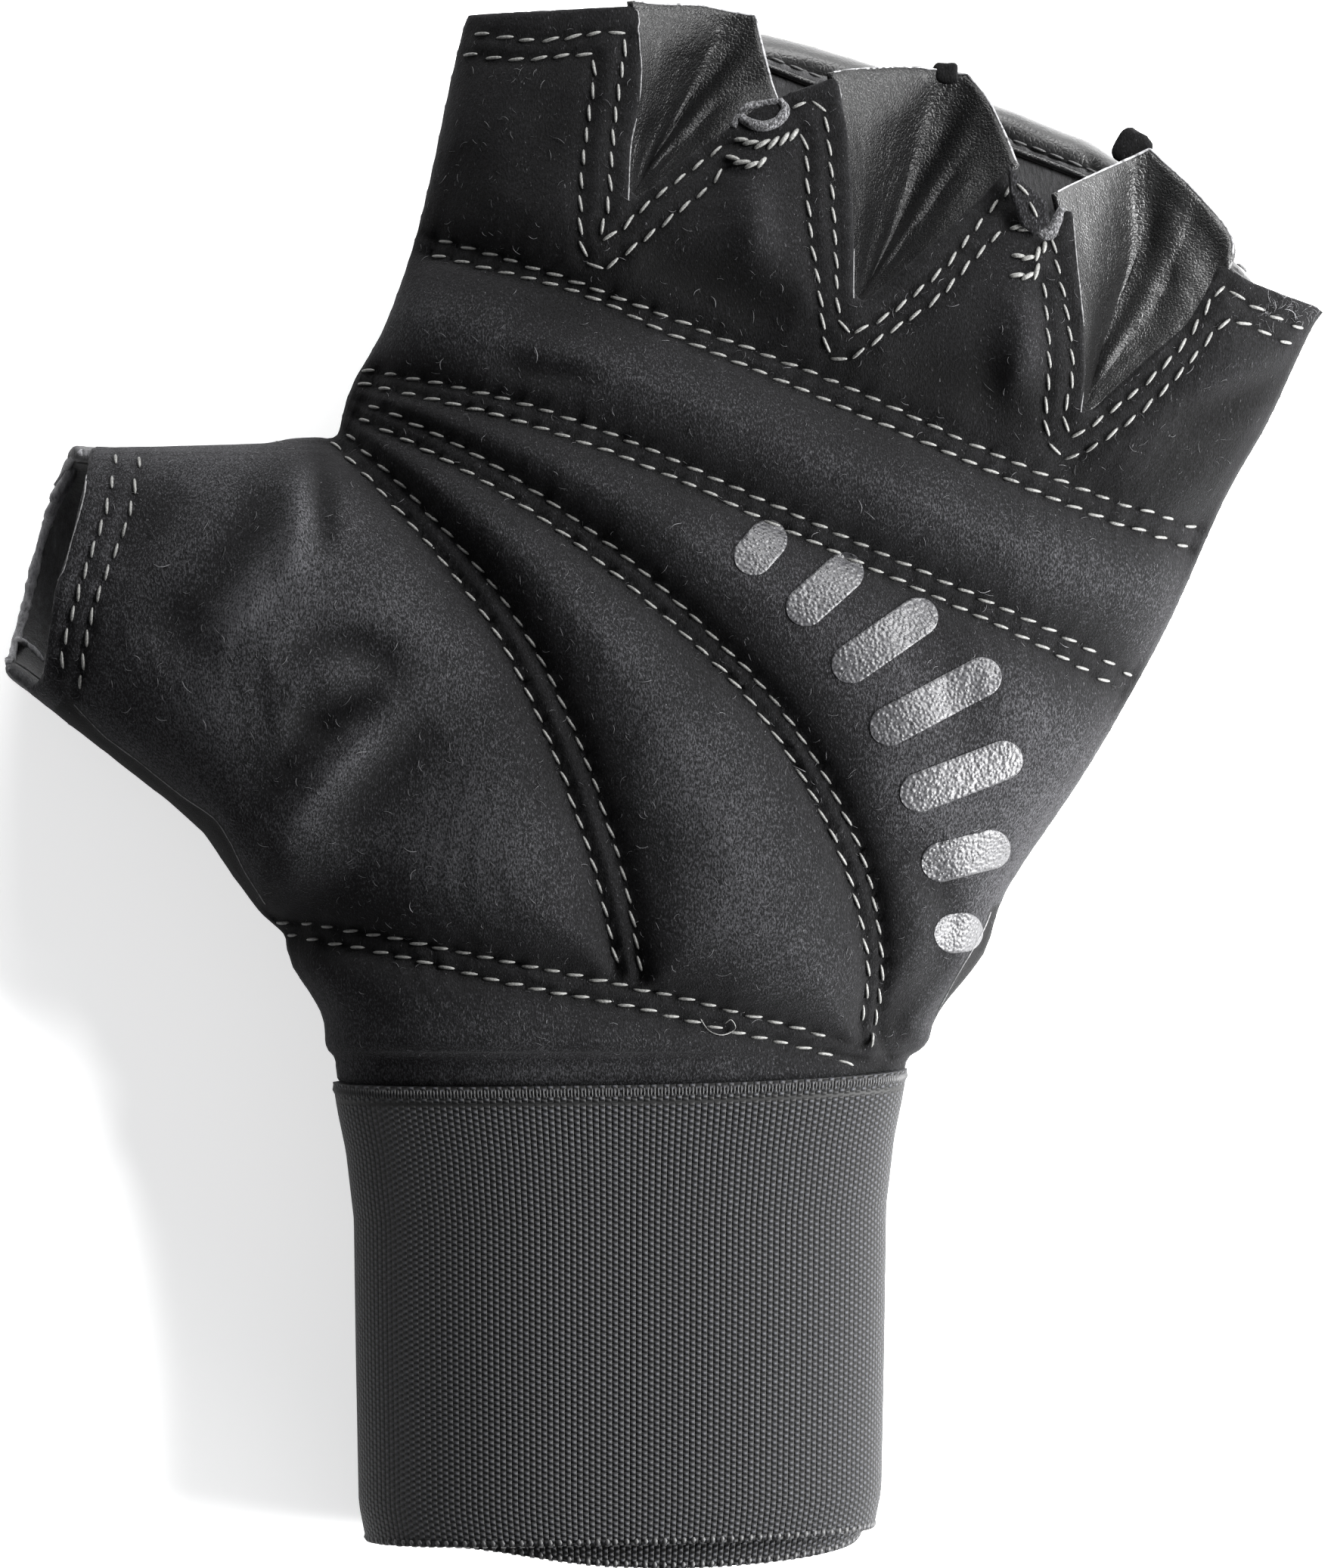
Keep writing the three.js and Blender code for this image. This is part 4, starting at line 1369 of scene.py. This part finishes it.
@dataclass
class KnucklePad:
    """The padded leather pad under the fingers, with its rolled front edge."""

    voxel: float = 4 * MM
    cap: float = 1.4 * MM  # how far the padding may swell
    frames: int = 20

    def build(self) -> bpy.types.Object:
        """Build the pad.

        Returns:
            The finished piece, which stands for the CAD node of the same name.
        """
        piece = even_copy("knuckle_pad", "leather_knuckle_pad", 1.6 * MM)
        piece = self._swollen(piece)
        relax(piece, 4, "xyz", 0.4)
        finish = PebbledLeather(
            name="synthetic_leather_smooth", pebble=0.7 * MM, roughness=0.36, grain_depth=0.025 * MM,
            crease_depth=0.05 * MM,
        )
        return finish_piece(piece, finish.material(), Slot.LEATHER, "knuckle_pad")

    def _swollen(self, piece: bpy.types.Object) -> bpy.types.Object:
        """Fill the pad as its foam does, and return the filled piece."""
        cage = even_copy("knuckle_pad", "pad_cage", self.voxel)
        rest = get_points(cage.data)
        cloth = cage.modifiers.new("foam", "CLOTH")
        cloth.settings.use_pressure = True
        cloth.settings.uniform_pressure_force = 4
        cloth.settings.effector_weights.gravity = 0
        for number in range(1, self.frames + 1):
            bpy.context.scene.frame_set(number)
        bake(cage)
        bpy.context.scene.frame_set(1)
        moved = get_points(cage.data) - rest
        far = np.linalg.norm(moved, axis=1, keepdims=True)
        moved *= np.minimum(1, self.cap / np.maximum(far, 1e-9))
        moved[:, 2] = np.where(rest[:, 2] < 2 * MM, np.maximum(moved[:, 2], 0), moved[:, 2])
        tree = KDTree(len(rest))
        for i, point in enumerate(rest):
            tree.insert(point, i)
        tree.balance()
        points = get_points(piece.data)
        for i, point in enumerate(points):
            near = tree.find_n(point, 4)
            weights = np.array([1 / (d + 0.5 * MM) for _, _, d in near])
            shift = sum(w * moved[k] for w, (_, k, _) in zip(weights, near)) / weights.sum()
            points[i] = point + shift
        points[:, 2] = np.maximum(points[:, 2], 0)
        set_points(piece.data, points)
        bpy.data.objects.remove(cage)
        return piece


@dataclass(frozen=True)
class Leaf:
    """The folded leather between two fingers, as pixels of the picture."""

    name: str
    left: tuple[Point, ...]  # sewn edge from the crotch to the finger edge
    right: tuple[Point, ...]
    fold: tuple[Point, ...]  # from the crotch to the finger edge
    left_rim: tuple[Point, ...]  # free edge from the left side to the fold
    right_rim: tuple[Point, ...]
    shine: float = 0.2


LEAVES = (
    Leaf(
        "index_middle",
        ((831, 275), (836, 191), (847, 140), (850, 84), (843, 11)),
        ((831, 275), (857, 247), (911, 210), (961, 174), (1000, 152)),
        ((831, 275), (870, 205), (925, 120), (999, 20)),
        ((843, 11), (897, 10), (940, 9), (999, 20)),
        ((1000, 152), (1026, 138), (1018, 93), (999, 20)),
    ),
    Leaf(
        "middle_ring",
        ((1128, 415), (1127, 320), (1128, 270), (1120, 182), (1107, 105)),
        ((1128, 415), (1180, 370), (1250, 302), (1300, 252), (1332, 214)),
        ((1128, 415), (1160, 355), (1215, 240), (1280, 98)),
        ((1107, 105), (1165, 94), (1232, 89), (1280, 98)),
        ((1332, 214), (1318, 160), (1300, 120), (1280, 98)),
    ),
    Leaf(
        "ring_little",
        ((1424, 557), (1432, 483), (1428, 413), (1421, 343), (1404, 262)),
        ((1424, 557), (1465, 522), (1545, 452), (1591, 388), (1614, 340)),
        ((1424, 557), (1460, 450), (1512, 320), (1521, 196)),
        ((1404, 262), (1430, 243), (1470, 220), (1521, 196)),
        ((1614, 340), (1612, 300), (1575, 245), (1521, 196)),
        0.5,
    ),
)


@dataclass
class FingerGussets:
    """The three folded leather leaves."""

    surface: Surface
    wall: float = 1.0 * MM
    lap: float = 1.2 * MM  # the sewn edge runs this far under the suede
    floor: float = 15 * MM  # the fold's level at the finger edge
    rim: float = 0.17 * MM  # half the pale line along a cut edge
    steps: int = 46
    across: int = 44

    def build(self) -> list[bpy.types.Object]:
        """Build all leaves.

        Returns:
            One finished piece for each CAD gusset.
        """
        pieces = []
        rims = bmesh.new()
        for leaf in LEAVES:
            piece = self._leaf(leaf, rims)
            finish = PebbledLeather(name=f"synthetic_leather_{leaf.name}", shine=leaf.shine)
            node = f"gusset_{leaf.name}"
            pieces.append(finish_piece(piece, finish.material(), Slot.LEATHER, node))
        trims = from_bmesh("gusset_cut_edges", rims)
        pale = SpunThread(name="leather_cut_edge", colour="#7a7a7c", shade="#2a2a2b", ply=0.9 * MM)
        finish_piece(trims, pale.material(), Slot.LEATHER)
        return pieces

    def _leaf(self, leaf: Leaf, rims_mesh: bmesh.types.BMesh) -> bpy.types.Object:
        """Build one pair of leaves from one sewn edge over the fold to the other.

        Args:
            leaf: The pair's lines.
            rims_mesh: Takes the pale line along the pair's cut edge.

        Returns:
            The pair as one piece.
        """
        n = 60
        left, right, fold = [self._curve(p, n) for p in (leaf.left, leaf.right, leaf.fold)]
        rims = [self._curve(p, n) for p in (leaf.left_rim, leaf.right_rim)]
        crotch_level = self.surface.under(*left[0])[0].z
        outward = np.array([fold[0][1] - fold[-1][1], fold[-1][0] - fold[0][0]])
        outward /= np.linalg.norm(outward)

        def place(u: float, v: float) -> Vector:
            """Place one point: u runs from the crotch out, v from left to right."""
            at = u * n
            on_left = v < 0.5
            down = 1 - abs(2 * v - 1)
            edge = self._at(left if on_left else right, at)
            lap = self.lap * (1 if on_left else -1) * smoothstep(0.0, 0.15, u)
            edge = edge + outward * lap * (1 - down) ** 2
            bottom = self._at(fold, at)
            rim = self._at(rims[0] if on_left else rims[1], down * n)
            straight = (left if on_left else right)[-1] * (1 - down) + fold[-1] * down
            lean = down**1.35
            spot = edge * (1 - lean) + bottom * lean + (rim - straight) * u**3
            level = self.surface.under(*edge)[0].z - 0.1 * MM
            sunk = (1 - math.exp(-3.2 * u)) / (1 - math.exp(-3.2))
            fold_level = crotch_level + (self.floor - crotch_level) * sunk
            drop = smoothstep(-0.35, 1.12, down) - smoothstep(-0.35, 1.12, 0)
            drop /= smoothstep(-0.35, 1.12, 1) - smoothstep(-0.35, 1.12, 0)
            height = level + (fold_level - level) * drop
            point = Vector((spot[0], spot[1], height))
            wave = noise.noise(Vector((40 * down + 7 * u, 5 * u + 11 * on_left, 0.3)))
            swell = noise.noise(Vector((3.5 * down, 4 * u, 3.0 + 5 * on_left)))
            relief = (0.12 * wave + 0.7 * swell) * math.sin(math.pi * down) ** 0.5 if down > 0 else 0
            beside = math.exp(-(((down - (0.84 if on_left else 0.72)) / 0.12) ** 2))
            relief += beside * (-0.8 if on_left else 1.3) * math.sin(math.pi * min(u, 0.6) / 1.2)
            return point + Vector((0, 0, relief * min(1, 4 * u) * MM))

        piece = shaped_grid(f"leather_gusset_{leaf.name}", self.steps, 2 * self.across, place)
        thicken(piece, self.wall)
        path = np.array([place(1.0, v) for v in np.linspace(0.03, 0.97, 120)])
        path[:, 2] += self.wall * 0.45
        sweep(rims_mesh, path, self.rim * (1 + 0.4 * ripple(path, 1.6 * MM)), 6)
        return piece

    @staticmethod
    def _curve(points: Sequence[Point], count: int) -> np.ndarray:
        """Return count + 1 even plan points on a curve."""
        line = smooth_line(plan(points), 0.2 * MM)
        at = np.linspace(0, len(line) - 1, count + 1)
        return np.stack([np.interp(at, np.arange(len(line)), line[:, k]) for k in (0, 1)], axis=1)

    @staticmethod
    def _at(curve: np.ndarray, place: float) -> np.ndarray:
        """Return the point of a curve at a fractional index."""
        low = min(int(place), len(curve) - 2)
        share = place - low
        return curve[low] * (1 - share) + curve[low + 1] * share


@dataclass
class WristWrap:
    """The woven elastic, wound about twice round the wrist."""

    height: float = 60.5 * MM
    width: float = 76 * MM
    depth: float = 36 * MM
    wall: float = 1.5 * MM
    layer_gap: float = 0.3 * MM
    sleeve_gap: float = 0.5 * MM
    start: float = -0.9
    climb: float = 0.9
    end: float = 1.88
    rim_rise: float = 0.4 * MM
    rim_tilt: float = 0.9 * MM
    rim_bow: float = 1.2 * MM
    inner_drop: float = 3.3 * MM
    crown: float = 0.8
    belly: float = 0.62
    flare: tuple[tuple[float, float], ...] = (
        (0, 1), (0.06, 0.985), (0.15, 0.955), (0.3, 0.927), (0.6, 0.92), (0.92, 0.91), (1, 0.885),
    )
    steps: int = 380
    rows: int = 44
    origin: Point = (-5.656 * MM, CUFF_RIM)

    def build(self) -> bpy.types.Object:
        """Build the wrap and the yarn loops along its edges.

        Returns:
            The finished wrap, which stands for the CAD node.
        """
        piece = shaped_grid("elastic_wrap", self.steps, self.rows, self.place)
        runs = self._runs()
        shares = np.linspace(0, 1, len(runs))
        uv = piece.data.uv_layers["cut"]
        for loop in uv.data:
            loop.uv = (float(np.interp(loop.uv[0], shares, runs)), loop.uv[1] * self.height)
        thicken(piece, self.wall)
        finish_piece(piece, WovenElastic().material(), Slot.ELASTIC, "wrist_wrap")
        edge = self._selvedge(runs)
        return piece

    def place(self, u: float, v: float) -> Vector:
        """Place one point of the webbing.

        Args:
            u: Share of the winding from its inner to its outer end.
            v: Share of the webbing's width from its lower edge to its rim.

        Returns:
            The point in metres.
        """
        turn = self.end * u
        angle = self.start - 2 * math.pi * turn
        layer = smoothstep(self.climb, 1.0, turn)
        stack = self.sleeve_gap + self.wall / 2 + layer * (self.wall + self.layer_gap)
        walls = 2 * self.wall + self.layer_gap + self.sleeve_gap
        rise = math.sin(angle)
        turned = math.cos(angle)
        drop = self.inner_drop * (1 - layer) * math.sqrt(max(0, rise))
        drop *= smoothstep(-0.7, 0.2, turned)
        climb = self.rim_rise + self.rim_tilt * turned - self.rim_bow * max(0, rise) - drop
        down = 1 - v
        wide = float(np.interp(down, *zip(*self.flare)))
        half = self.width / 2 * wide - walls + stack
        power = self.crown if rise > 0 else self.belly
        high = (self.depth / 2 - walls + stack) * rounded(rise, power)
        slack = 0.25 * MM * noise.noise(Vector((6 * turn, 2.5 * v, 1.0)))
        return Vector(
            (
                self.origin[0] + half * rounded(turned, self.crown),
                self.origin[1] + climb - down * self.height,
                self.depth / 2 + high + slack * layer * max(0, rise),
            )
        )

    def _runs(self) -> np.ndarray:
        """Return how much webbing lies before each step of the winding, at mid height."""
        line = [self.place(k / self.steps, 0.5) for k in range(self.steps + 1)]
        return np.concatenate([[0], np.cumsum([(b - a).length for a, b in zip(line, line[1:])])])

    def _selvedge(self, runs: np.ndarray) -> bpy.types.Object:
        """Lay the yarns that turn over both edges of the webbing."""
        bm = bmesh.new()
        edges = ((1.0, -1, 0.42, 1.05, 0.23, 0.95), (0.0, 1, 1.3, 0.75, 0.55, 0.45))
        for v, inward, pitch, long, wide, inset in edges:
            count = int(runs[-1] / (pitch * MM))
            shares = np.interp(
                (np.arange(count) + 0.5) * pitch * MM, runs, np.linspace(0, 1, len(runs))
            )
            places = []
            for k, u in enumerate(shares):
                point = self.place(u, v)
                point.z = max(point.z, self.wall * 0.64)
                after, before = self.place(min(1, u + 0.002), v), self.place(max(0, u - 0.002), v)
                along = (after - before).normalized()
                across = (self.place(u, v + inward * 0.03) - point).normalized()
                out = along.cross(across).normalized() * -inward
                turn = Matrix((across, along, out)).transposed().to_4x4()
                uneven = 1 + 0.12 * noise.noise(Vector((k * 0.9, v, 2.0)))
                size = Matrix.Diagonal((long * uneven * MM, wide * MM, self.wall * 0.64, 1))
                places.append(Matrix.Translation(point + across * inset * MM) @ turn @ size)
            template = bmesh.new()
            bmesh.ops.create_uvsphere(template, u_segments=6, v_segments=5, radius=1)
            part = stamp("edge", template, places)
            template.free()
            bm.from_mesh(part.data)
            bpy.data.objects.remove(part)
        piece = from_bmesh("elastic_selvedge", bm)
        finish = SpunThread(name="elastic_edge_yarn", colour="#151516", shade="#070708", ply=0.4 * MM)
        return finish_piece(piece, finish.material(), Slot.ELASTIC)


@dataclass
class WebTacks:
    """Thick thread wraps and the rolled suede at the two finger webs."""

    surface: Surface
    kind: Stitch = Stitch(
        pitch=1.5 * MM, length=2.3 * MM, radius=0.33 * MM, slant=26.0, lift=0.4 * MM, unevenness=0.32
    )
    wraps: tuple[tuple[Point, ...], ...] = (
        ((972, 186), (990, 193), (1012, 197), (1036, 188), (1058, 178)),
        ((962, 208), (980, 221), (1002, 224), (1020, 210)),
        ((1337, 340), (1352, 347), (1366, 347), (1378, 330), (1388, 311)),
        ((1334, 366), (1352, 371), (1368, 368), (1379, 352)),
        ((1335, 303), (1350, 306), (1362, 312)),
    )
    rolls: tuple[tuple[tuple[Point, ...], float], ...] = (
        # the path, and the radius in millimetres
        (((969, 172), (978, 158), (985, 163), (1006, 171), (1028, 164), (1038, 148), (1030, 135)), 0.75),
        (((970, 168), (984, 147), (1008, 141), (1030, 137)), 0.55),
        (((1352, 283), (1366, 303), (1384, 314), (1393, 300), (1402, 278)), 0.8),
    )

    def build(self) -> list[bpy.types.Object]:
        """Build the wraps and the rolls.

        Returns:
            The thread piece and the suede piece.
        """
        places = []
        for number, points in enumerate(self.wraps):
            places += sew(self.surface, smooth_line(plan(points), 0.1 * MM), self.kind, 50 + number)
        template = stitch_template()
        thread = stamp("web_thread_wraps", template, places)
        template.free()
        finish_piece(thread, SpunThread(name="web_thread").material(), Slot.ELASTIC)
        rolled = bmesh.new()
        for points, radius in self.rolls:
            path = self._over(points, 0.25 * MM, 0.4 * MM)
            taper = np.sin(np.linspace(0.3, math.pi - 0.3, len(path))) ** 0.4
            sweep(rolled, path, radius * MM * taper * (1 + 0.15 * ripple(path, 1.5 * MM)), 12)
        suede = from_bmesh("web_rolls", rolled)
        finish = BrushedSuede(name="microfibre_suede_rolled", nap="#2a2a2b", tips="#6a6a6c")
        finish_piece(suede, finish.material(), Slot.SUEDE)
        set_attribute(suede.data, "crown", np.ones(len(suede.data.vertices)))
        return [thread, suede]

    def _over(self, points: Sequence[Point], lift: float, step: float) -> np.ndarray:
        """Lay a path over the suede, lifted in its middle."""
        line = smooth_line(plan(points), step)
        heights = np.array([self.surface.top(x, y)[0].z for x, y in line])
        for _ in range(4):
            heights[1:-1] = (heights[:-2] + heights[1:-1] + heights[2:]) / 3
        arch = np.sin(np.linspace(0, math.pi, len(line)))
        return np.column_stack([line, heights + lift * arch])


@dataclass
class SmallEnds:
    """Short ends by the finger openings and one stray thread."""

    surface: Surface
    flap: tuple[tuple[float, float, float], ...] = (
        # pixels across and down, and millimetres under the palm's top
        (1331, 222, 0.2),
        (1350, 243, 0.5),
        (1383, 272, 0.6),
        (1386, 300, 0.3),
        (1366, 314, 0.1),
        (1348, 302, 0.1),
        (1334, 262, 0.1),
    )
    flap_seam: tuple[Point, ...] = ((1341, 243), (1355, 260), (1366, 282), (1368, 300))
    corners: tuple[tuple[Point, Point, float, float], ...] = (
        # middle, half sizes in millimetres, turn in degrees, level in millimetres
        ((1498, 196), (2.5, 2.4), -28.0, 14.4),
        ((1251, 96), (1.8, 1.4), -6.0, 15.3),
    )
    thread: tuple[Point, ...] = (
        (926, 1346), (938, 1362), (956, 1367), (972, 1358), (966, 1347), (958, 1352),
    )
    flap_rest: Point = (1352, 330)  # spot on the palm whose height the flap takes
    flap_wall: float = 1.1 * MM
    flap_crown: float = 0.85  # share of brushed tips, as a folded edge shows more of them
    corner_crown: float = 0.25
    corner_half: float = 1.0 * MM
    corner_squareness: float = 0.62
    crumple_pitch: float = 1.7 * MM

    def build(self) -> list[bpy.types.Object]:
        """Build the flap, the corners and the thread.

        Returns:
            The finished pieces.
        """
        return [self._flap(), self._corners(), self._thread()]

    def _flap(self) -> bpy.types.Object:
        """Build the corner of suede left of the last leaf."""
        bm = bmesh.new()
        around = plan([(x, y) for x, y, _ in self.flap])
        level = self.surface.top(*plan([self.flap_rest])[0])[0].z
        verts = [
            bm.verts.new((x, y, level - low * MM)) for (x, y), (_, _, low) in zip(around, self.flap)
        ]
        face = bm.faces.new(verts)
        if face.normal.z < 0:
            face.normal_flip()
        bmesh.ops.triangulate(bm, faces=bm.faces)
        bmesh.ops.subdivide_edges(bm, edges=bm.edges, cuts=5, use_grid_fill=True)
        for _ in range(3):
            bmesh.ops.smooth_vert(bm, verts=bm.verts, factor=0.5, use_axis_z=True)
        bmesh.ops.recalc_face_normals(bm, faces=bm.faces)
        piece = from_bmesh("web_flap", bm)
        thicken(piece, self.flap_wall, -1.0)
        finish = BrushedSuede(name="microfibre_suede_flap")
        finish_piece(piece, finish.material(), Slot.SUEDE)
        set_attribute(piece.data, "crown", np.full(len(piece.data.vertices), self.flap_crown))
        template = stitch_template()
        line = smooth_line(plan(self.flap_seam), 0.1 * MM)
        thread = stamp("flap_stitches", template, sew(Surface(piece), line, Stitch(), 90))
        template.free()
        finish_piece(thread, SpunThread(name="flap_thread").material(), Slot.ELASTIC)
        return piece

    def _corners(self) -> bpy.types.Object:
        """Build the raw leather corners that show past the leaves' free edges."""
        bm = bmesh.new()
        for middle, (wide, high), turn, level in self.corners:
            x, y = plan([middle])[0]
            place = Matrix.Translation((x, y, level * MM))
            place @= Matrix.Rotation(math.radians(turn), 4, "Z")
            size = Matrix.Diagonal((wide * MM, high * MM, self.corner_half, 1))
            made = bmesh.ops.create_uvsphere(bm, u_segments=32, v_segments=20, radius=1)
            for vert in made["verts"]:
                square = Vector([rounded(c, self.corner_squareness) for c in vert.co])
                vert.co = place @ size @ square
                crumple = noise.noise(vert.co / self.crumple_pitch)
                vert.co += Vector((1, 1, 0.4)) * 0.4 * MM * crumple
        piece = from_bmesh("leather_corners", bm)
        finish = BrushedSuede(name="leather_raw_back")
        finish_piece(piece, finish.material(), Slot.LEATHER)
        set_attribute(piece.data, "crown", np.full(len(piece.data.vertices), self.corner_crown))
        return piece

    def _thread(self) -> bpy.types.Object:
        """Build the stray thread on the heel's seam."""
        line = smooth_line(plan(self.thread), 0.2 * MM)
        heights = np.array([self.surface.top(x, y)[0].z for x, y in line])
        bm = bmesh.new()
        sweep(bm, np.column_stack([line, heights + 0.3 * MM]), [0.07 * MM] * len(line), 5)
        piece = from_bmesh("stray_thread", bm)
        return finish_piece(piece, SpunThread(name="stray_polyester").material(), Slot.ELASTIC)


@dataclass
class RollPiping:
    """The piping and its stitches between the knuckle roll and the back."""

    back: Surface
    pad: Surface
    radius: float = 0.5 * MM
    path: tuple[Point, ...] = (
        (965, 68), (1016, 87), (1085, 113), (1200, 150), (1326, 192), (1370, 208), (1440, 236),
        (1530, 285), (1600, 335), (1660, 385),
    )
    kind: Stitch = Stitch(pitch=2.6 * MM, length=2.0 * MM, radius=0.2 * MM, slant=0, lift=0.3 * MM)

    def build(self) -> list[bpy.types.Object]:
        """Build the piping and its stitches.

        Returns:
            Both pieces.
        """
        line = smooth_line(plan(self.path), 0.5 * MM)
        heights = np.array(
            [max(self.pad.top(x, y)[0].z, self.back.top(x, y)[0].z) for x, y in line]
        )
        for _ in range(8):
            heights[1:-1] = (heights[:-2] + heights[1:-1] + heights[2:]) / 3
        bm = bmesh.new()
        sweep(bm, np.column_stack([line, heights + 0.25 * MM]), [self.radius] * len(line), 10)
        piping = from_bmesh("roll_piping", bm)
        finish = PebbledLeather(name="synthetic_leather_piping", roughness=0.32, grain_depth=0.03 * MM)
        finish_piece(piping, finish.material(), Slot.LEATHER)
        beside = smooth_line(plan([(x + 4, y - 12) for x, y in self.path]), 0.1 * MM)
        template = stitch_template()
        thread = stamp("roll_stitches", template, sew(self.pad, beside, self.kind, 80))
        template.free()
        dark = SpunThread(name="black_thread", colour="#2b2b2c", shade="#141415")
        return [piping, finish_piece(thread, dark.material(), Slot.LEATHER)]


@dataclass
class FilmPrint:
    """A plain pressed-film pattern: a fan of bars with round ends across the pad."""

    surface: Surface
    lift: float = 0.12 * MM
    centre: Point = (480, 1330)
    start: float = 76 * MM  # from the fan's centre to the bars' inner ends
    width: float = 5.2 * MM
    bars: tuple[tuple[float, float], ...] = (
        # angle in degrees, length in millimetres
        (7, 6.5),
        (14, 12.0),
        (21, 17.0),
        (28, 19.0),
        (35, 16.0),
        (42, 12.0),
        (49, 8.0),
    )

    def build(self) -> bpy.types.Object:
        """Build the film.

        Returns:
            The finished piece.
        """
        parts = [self._bar(math.radians(angle), length * MM) for angle, length in self.bars]
        bm = bmesh.new()
        for part in parts:
            bm.from_mesh(part.data)
            bpy.data.objects.remove(part)
        piece = from_bmesh("pressed_film", bm)
        return finish_piece(piece, PrintedFilm().material(), Slot.SUEDE)

    def _bar(self, angle: float, length: float) -> bpy.types.Object:
        """Build one bar with round ends, laid on the suede."""
        middle = plan([self.centre])[0]

        def place(u: float, v: float) -> Vector:
            """Place one point: u runs along the bar and v across it."""
            share = 0.5 - 0.5 * math.cos(math.pi * u)
            end = min(share, 1 - share) * length / (self.width / 2)
            half = self.width / 2 * math.sqrt(max(0.0, 1 - (1 - min(1, end)) ** 2))
            ahead = self.start + length * share
            side = (2 * v - 1) * half
            x = middle[0] + ahead * math.cos(angle) - side * math.sin(angle)
            y = middle[1] + ahead * math.sin(angle) + side * math.cos(angle)
            return self.surface.top(x, y)[0] + Vector((0, 0, self.lift))

        piece = shaped_grid("bar", 60, 16, place)
        wall = piece.modifiers.new("film", "SOLIDIFY")
        wall.thickness = 0.1 * MM
        bake(piece)
        return piece


@dataclass
class Studio:
    """Floor, light and camera."""

    distance: float = 3.0  # from the seam level to the camera
    sensor: float = 36.0
    floor_size: float = 6.0

    def build(self) -> None:
        """Build the floor, the lamps and the camera over the palm."""
        bm = bmesh.new()
        bmesh.ops.create_grid(bm, x_segments=1, y_segments=1, size=self.floor_size)
        floor = from_bmesh("floor", bm)
        floor.data.materials.append(MattPaint().material())
        self._lamp("key", (0.85, 0.5, 0.68), 0.36, 42.0)
        self._lamp("side", (0.8, -0.14, 0.22), 0.3, 22.0)
        self._lamp("rim", (0.15, 1.0, 0.24), 0.6, 20.0)
        self._lamp("strip", (0.22, -0.08, 0.1), 0.12, 1.5)
        self._lamp("fill", (-0.7, -0.1, 1.1), 1.2, 3.0)
        world = bpy.data.worlds.new("soft_room")
        world.use_nodes = True
        world.node_tree.nodes["Background"].inputs[0].default_value = linear("#f6f7fa")
        world.node_tree.nodes["Background"].inputs[1].default_value = 0.23
        bpy.context.scene.world = world
        bpy.context.scene.view_settings.view_transform = "Standard"
        self._camera()

    @staticmethod
    def _lamp(name: str, place: tuple[float, float, float], size: float, power: float) -> None:
        """Hang a square lamp that points at the glove."""
        data = bpy.data.lights.new(name, "AREA")
        data.size = size
        data.energy = power
        lamp = bpy.data.objects.new(name, data)
        lamp.location = place
        lamp.rotation_euler = (-Vector(place)).to_track_quat("-Z", "Y").to_euler()
        lamp.visible_camera = False
        bpy.context.scene.collection.objects.link(lamp)

    def _camera(self) -> None:
        """Look straight down, with the picture's scale at the seam level."""
        data = bpy.data.cameras.new("camera")
        data.sensor_width = self.sensor
        data.lens = self.sensor * self.distance / (PICTURE_PX[1] * PIXEL)
        camera = bpy.data.objects.new("camera", data)
        x, y = plan([(PICTURE_PX[0] / 2, PICTURE_PX[1] / 2)])[0]
        camera.location = (x, y, SEAM_LEVEL + self.distance)
        bpy.context.scene.collection.objects.link(camera)
        bpy.context.scene.camera = camera


def main() -> None:
    """Build the studio and then the glove from its palm out."""
    logging.basicConfig(level=logging.INFO, format="%(name)s: %(message)s")
    Studio().build()
    palm = PalmPanel().build()
    surface = Surface(palm)
    Stitching(surface).build()
    TrimmedEdges(surface).build()
    back = BackPanel().build()
    inside = Surface(back)
    ThumbRim(inside).build()
    pad = KnucklePad().build()
    RollPiping(inside, Surface(pad)).build()
    FingerGussets(surface).build()
    WristWrap().build()
    WebTacks(surface).build()
    SmallEnds(surface).build()
    FilmPrint(surface).build()
    Lint(surface).build()
    corner = Lint(surface, "corner_fuzz", (79, 88, 61, 66), 70, 1.2 * MM, 0.03 * MM, "#6a6a6c", 11)
    corner.build()


if __name__ == "__main__":
    main()
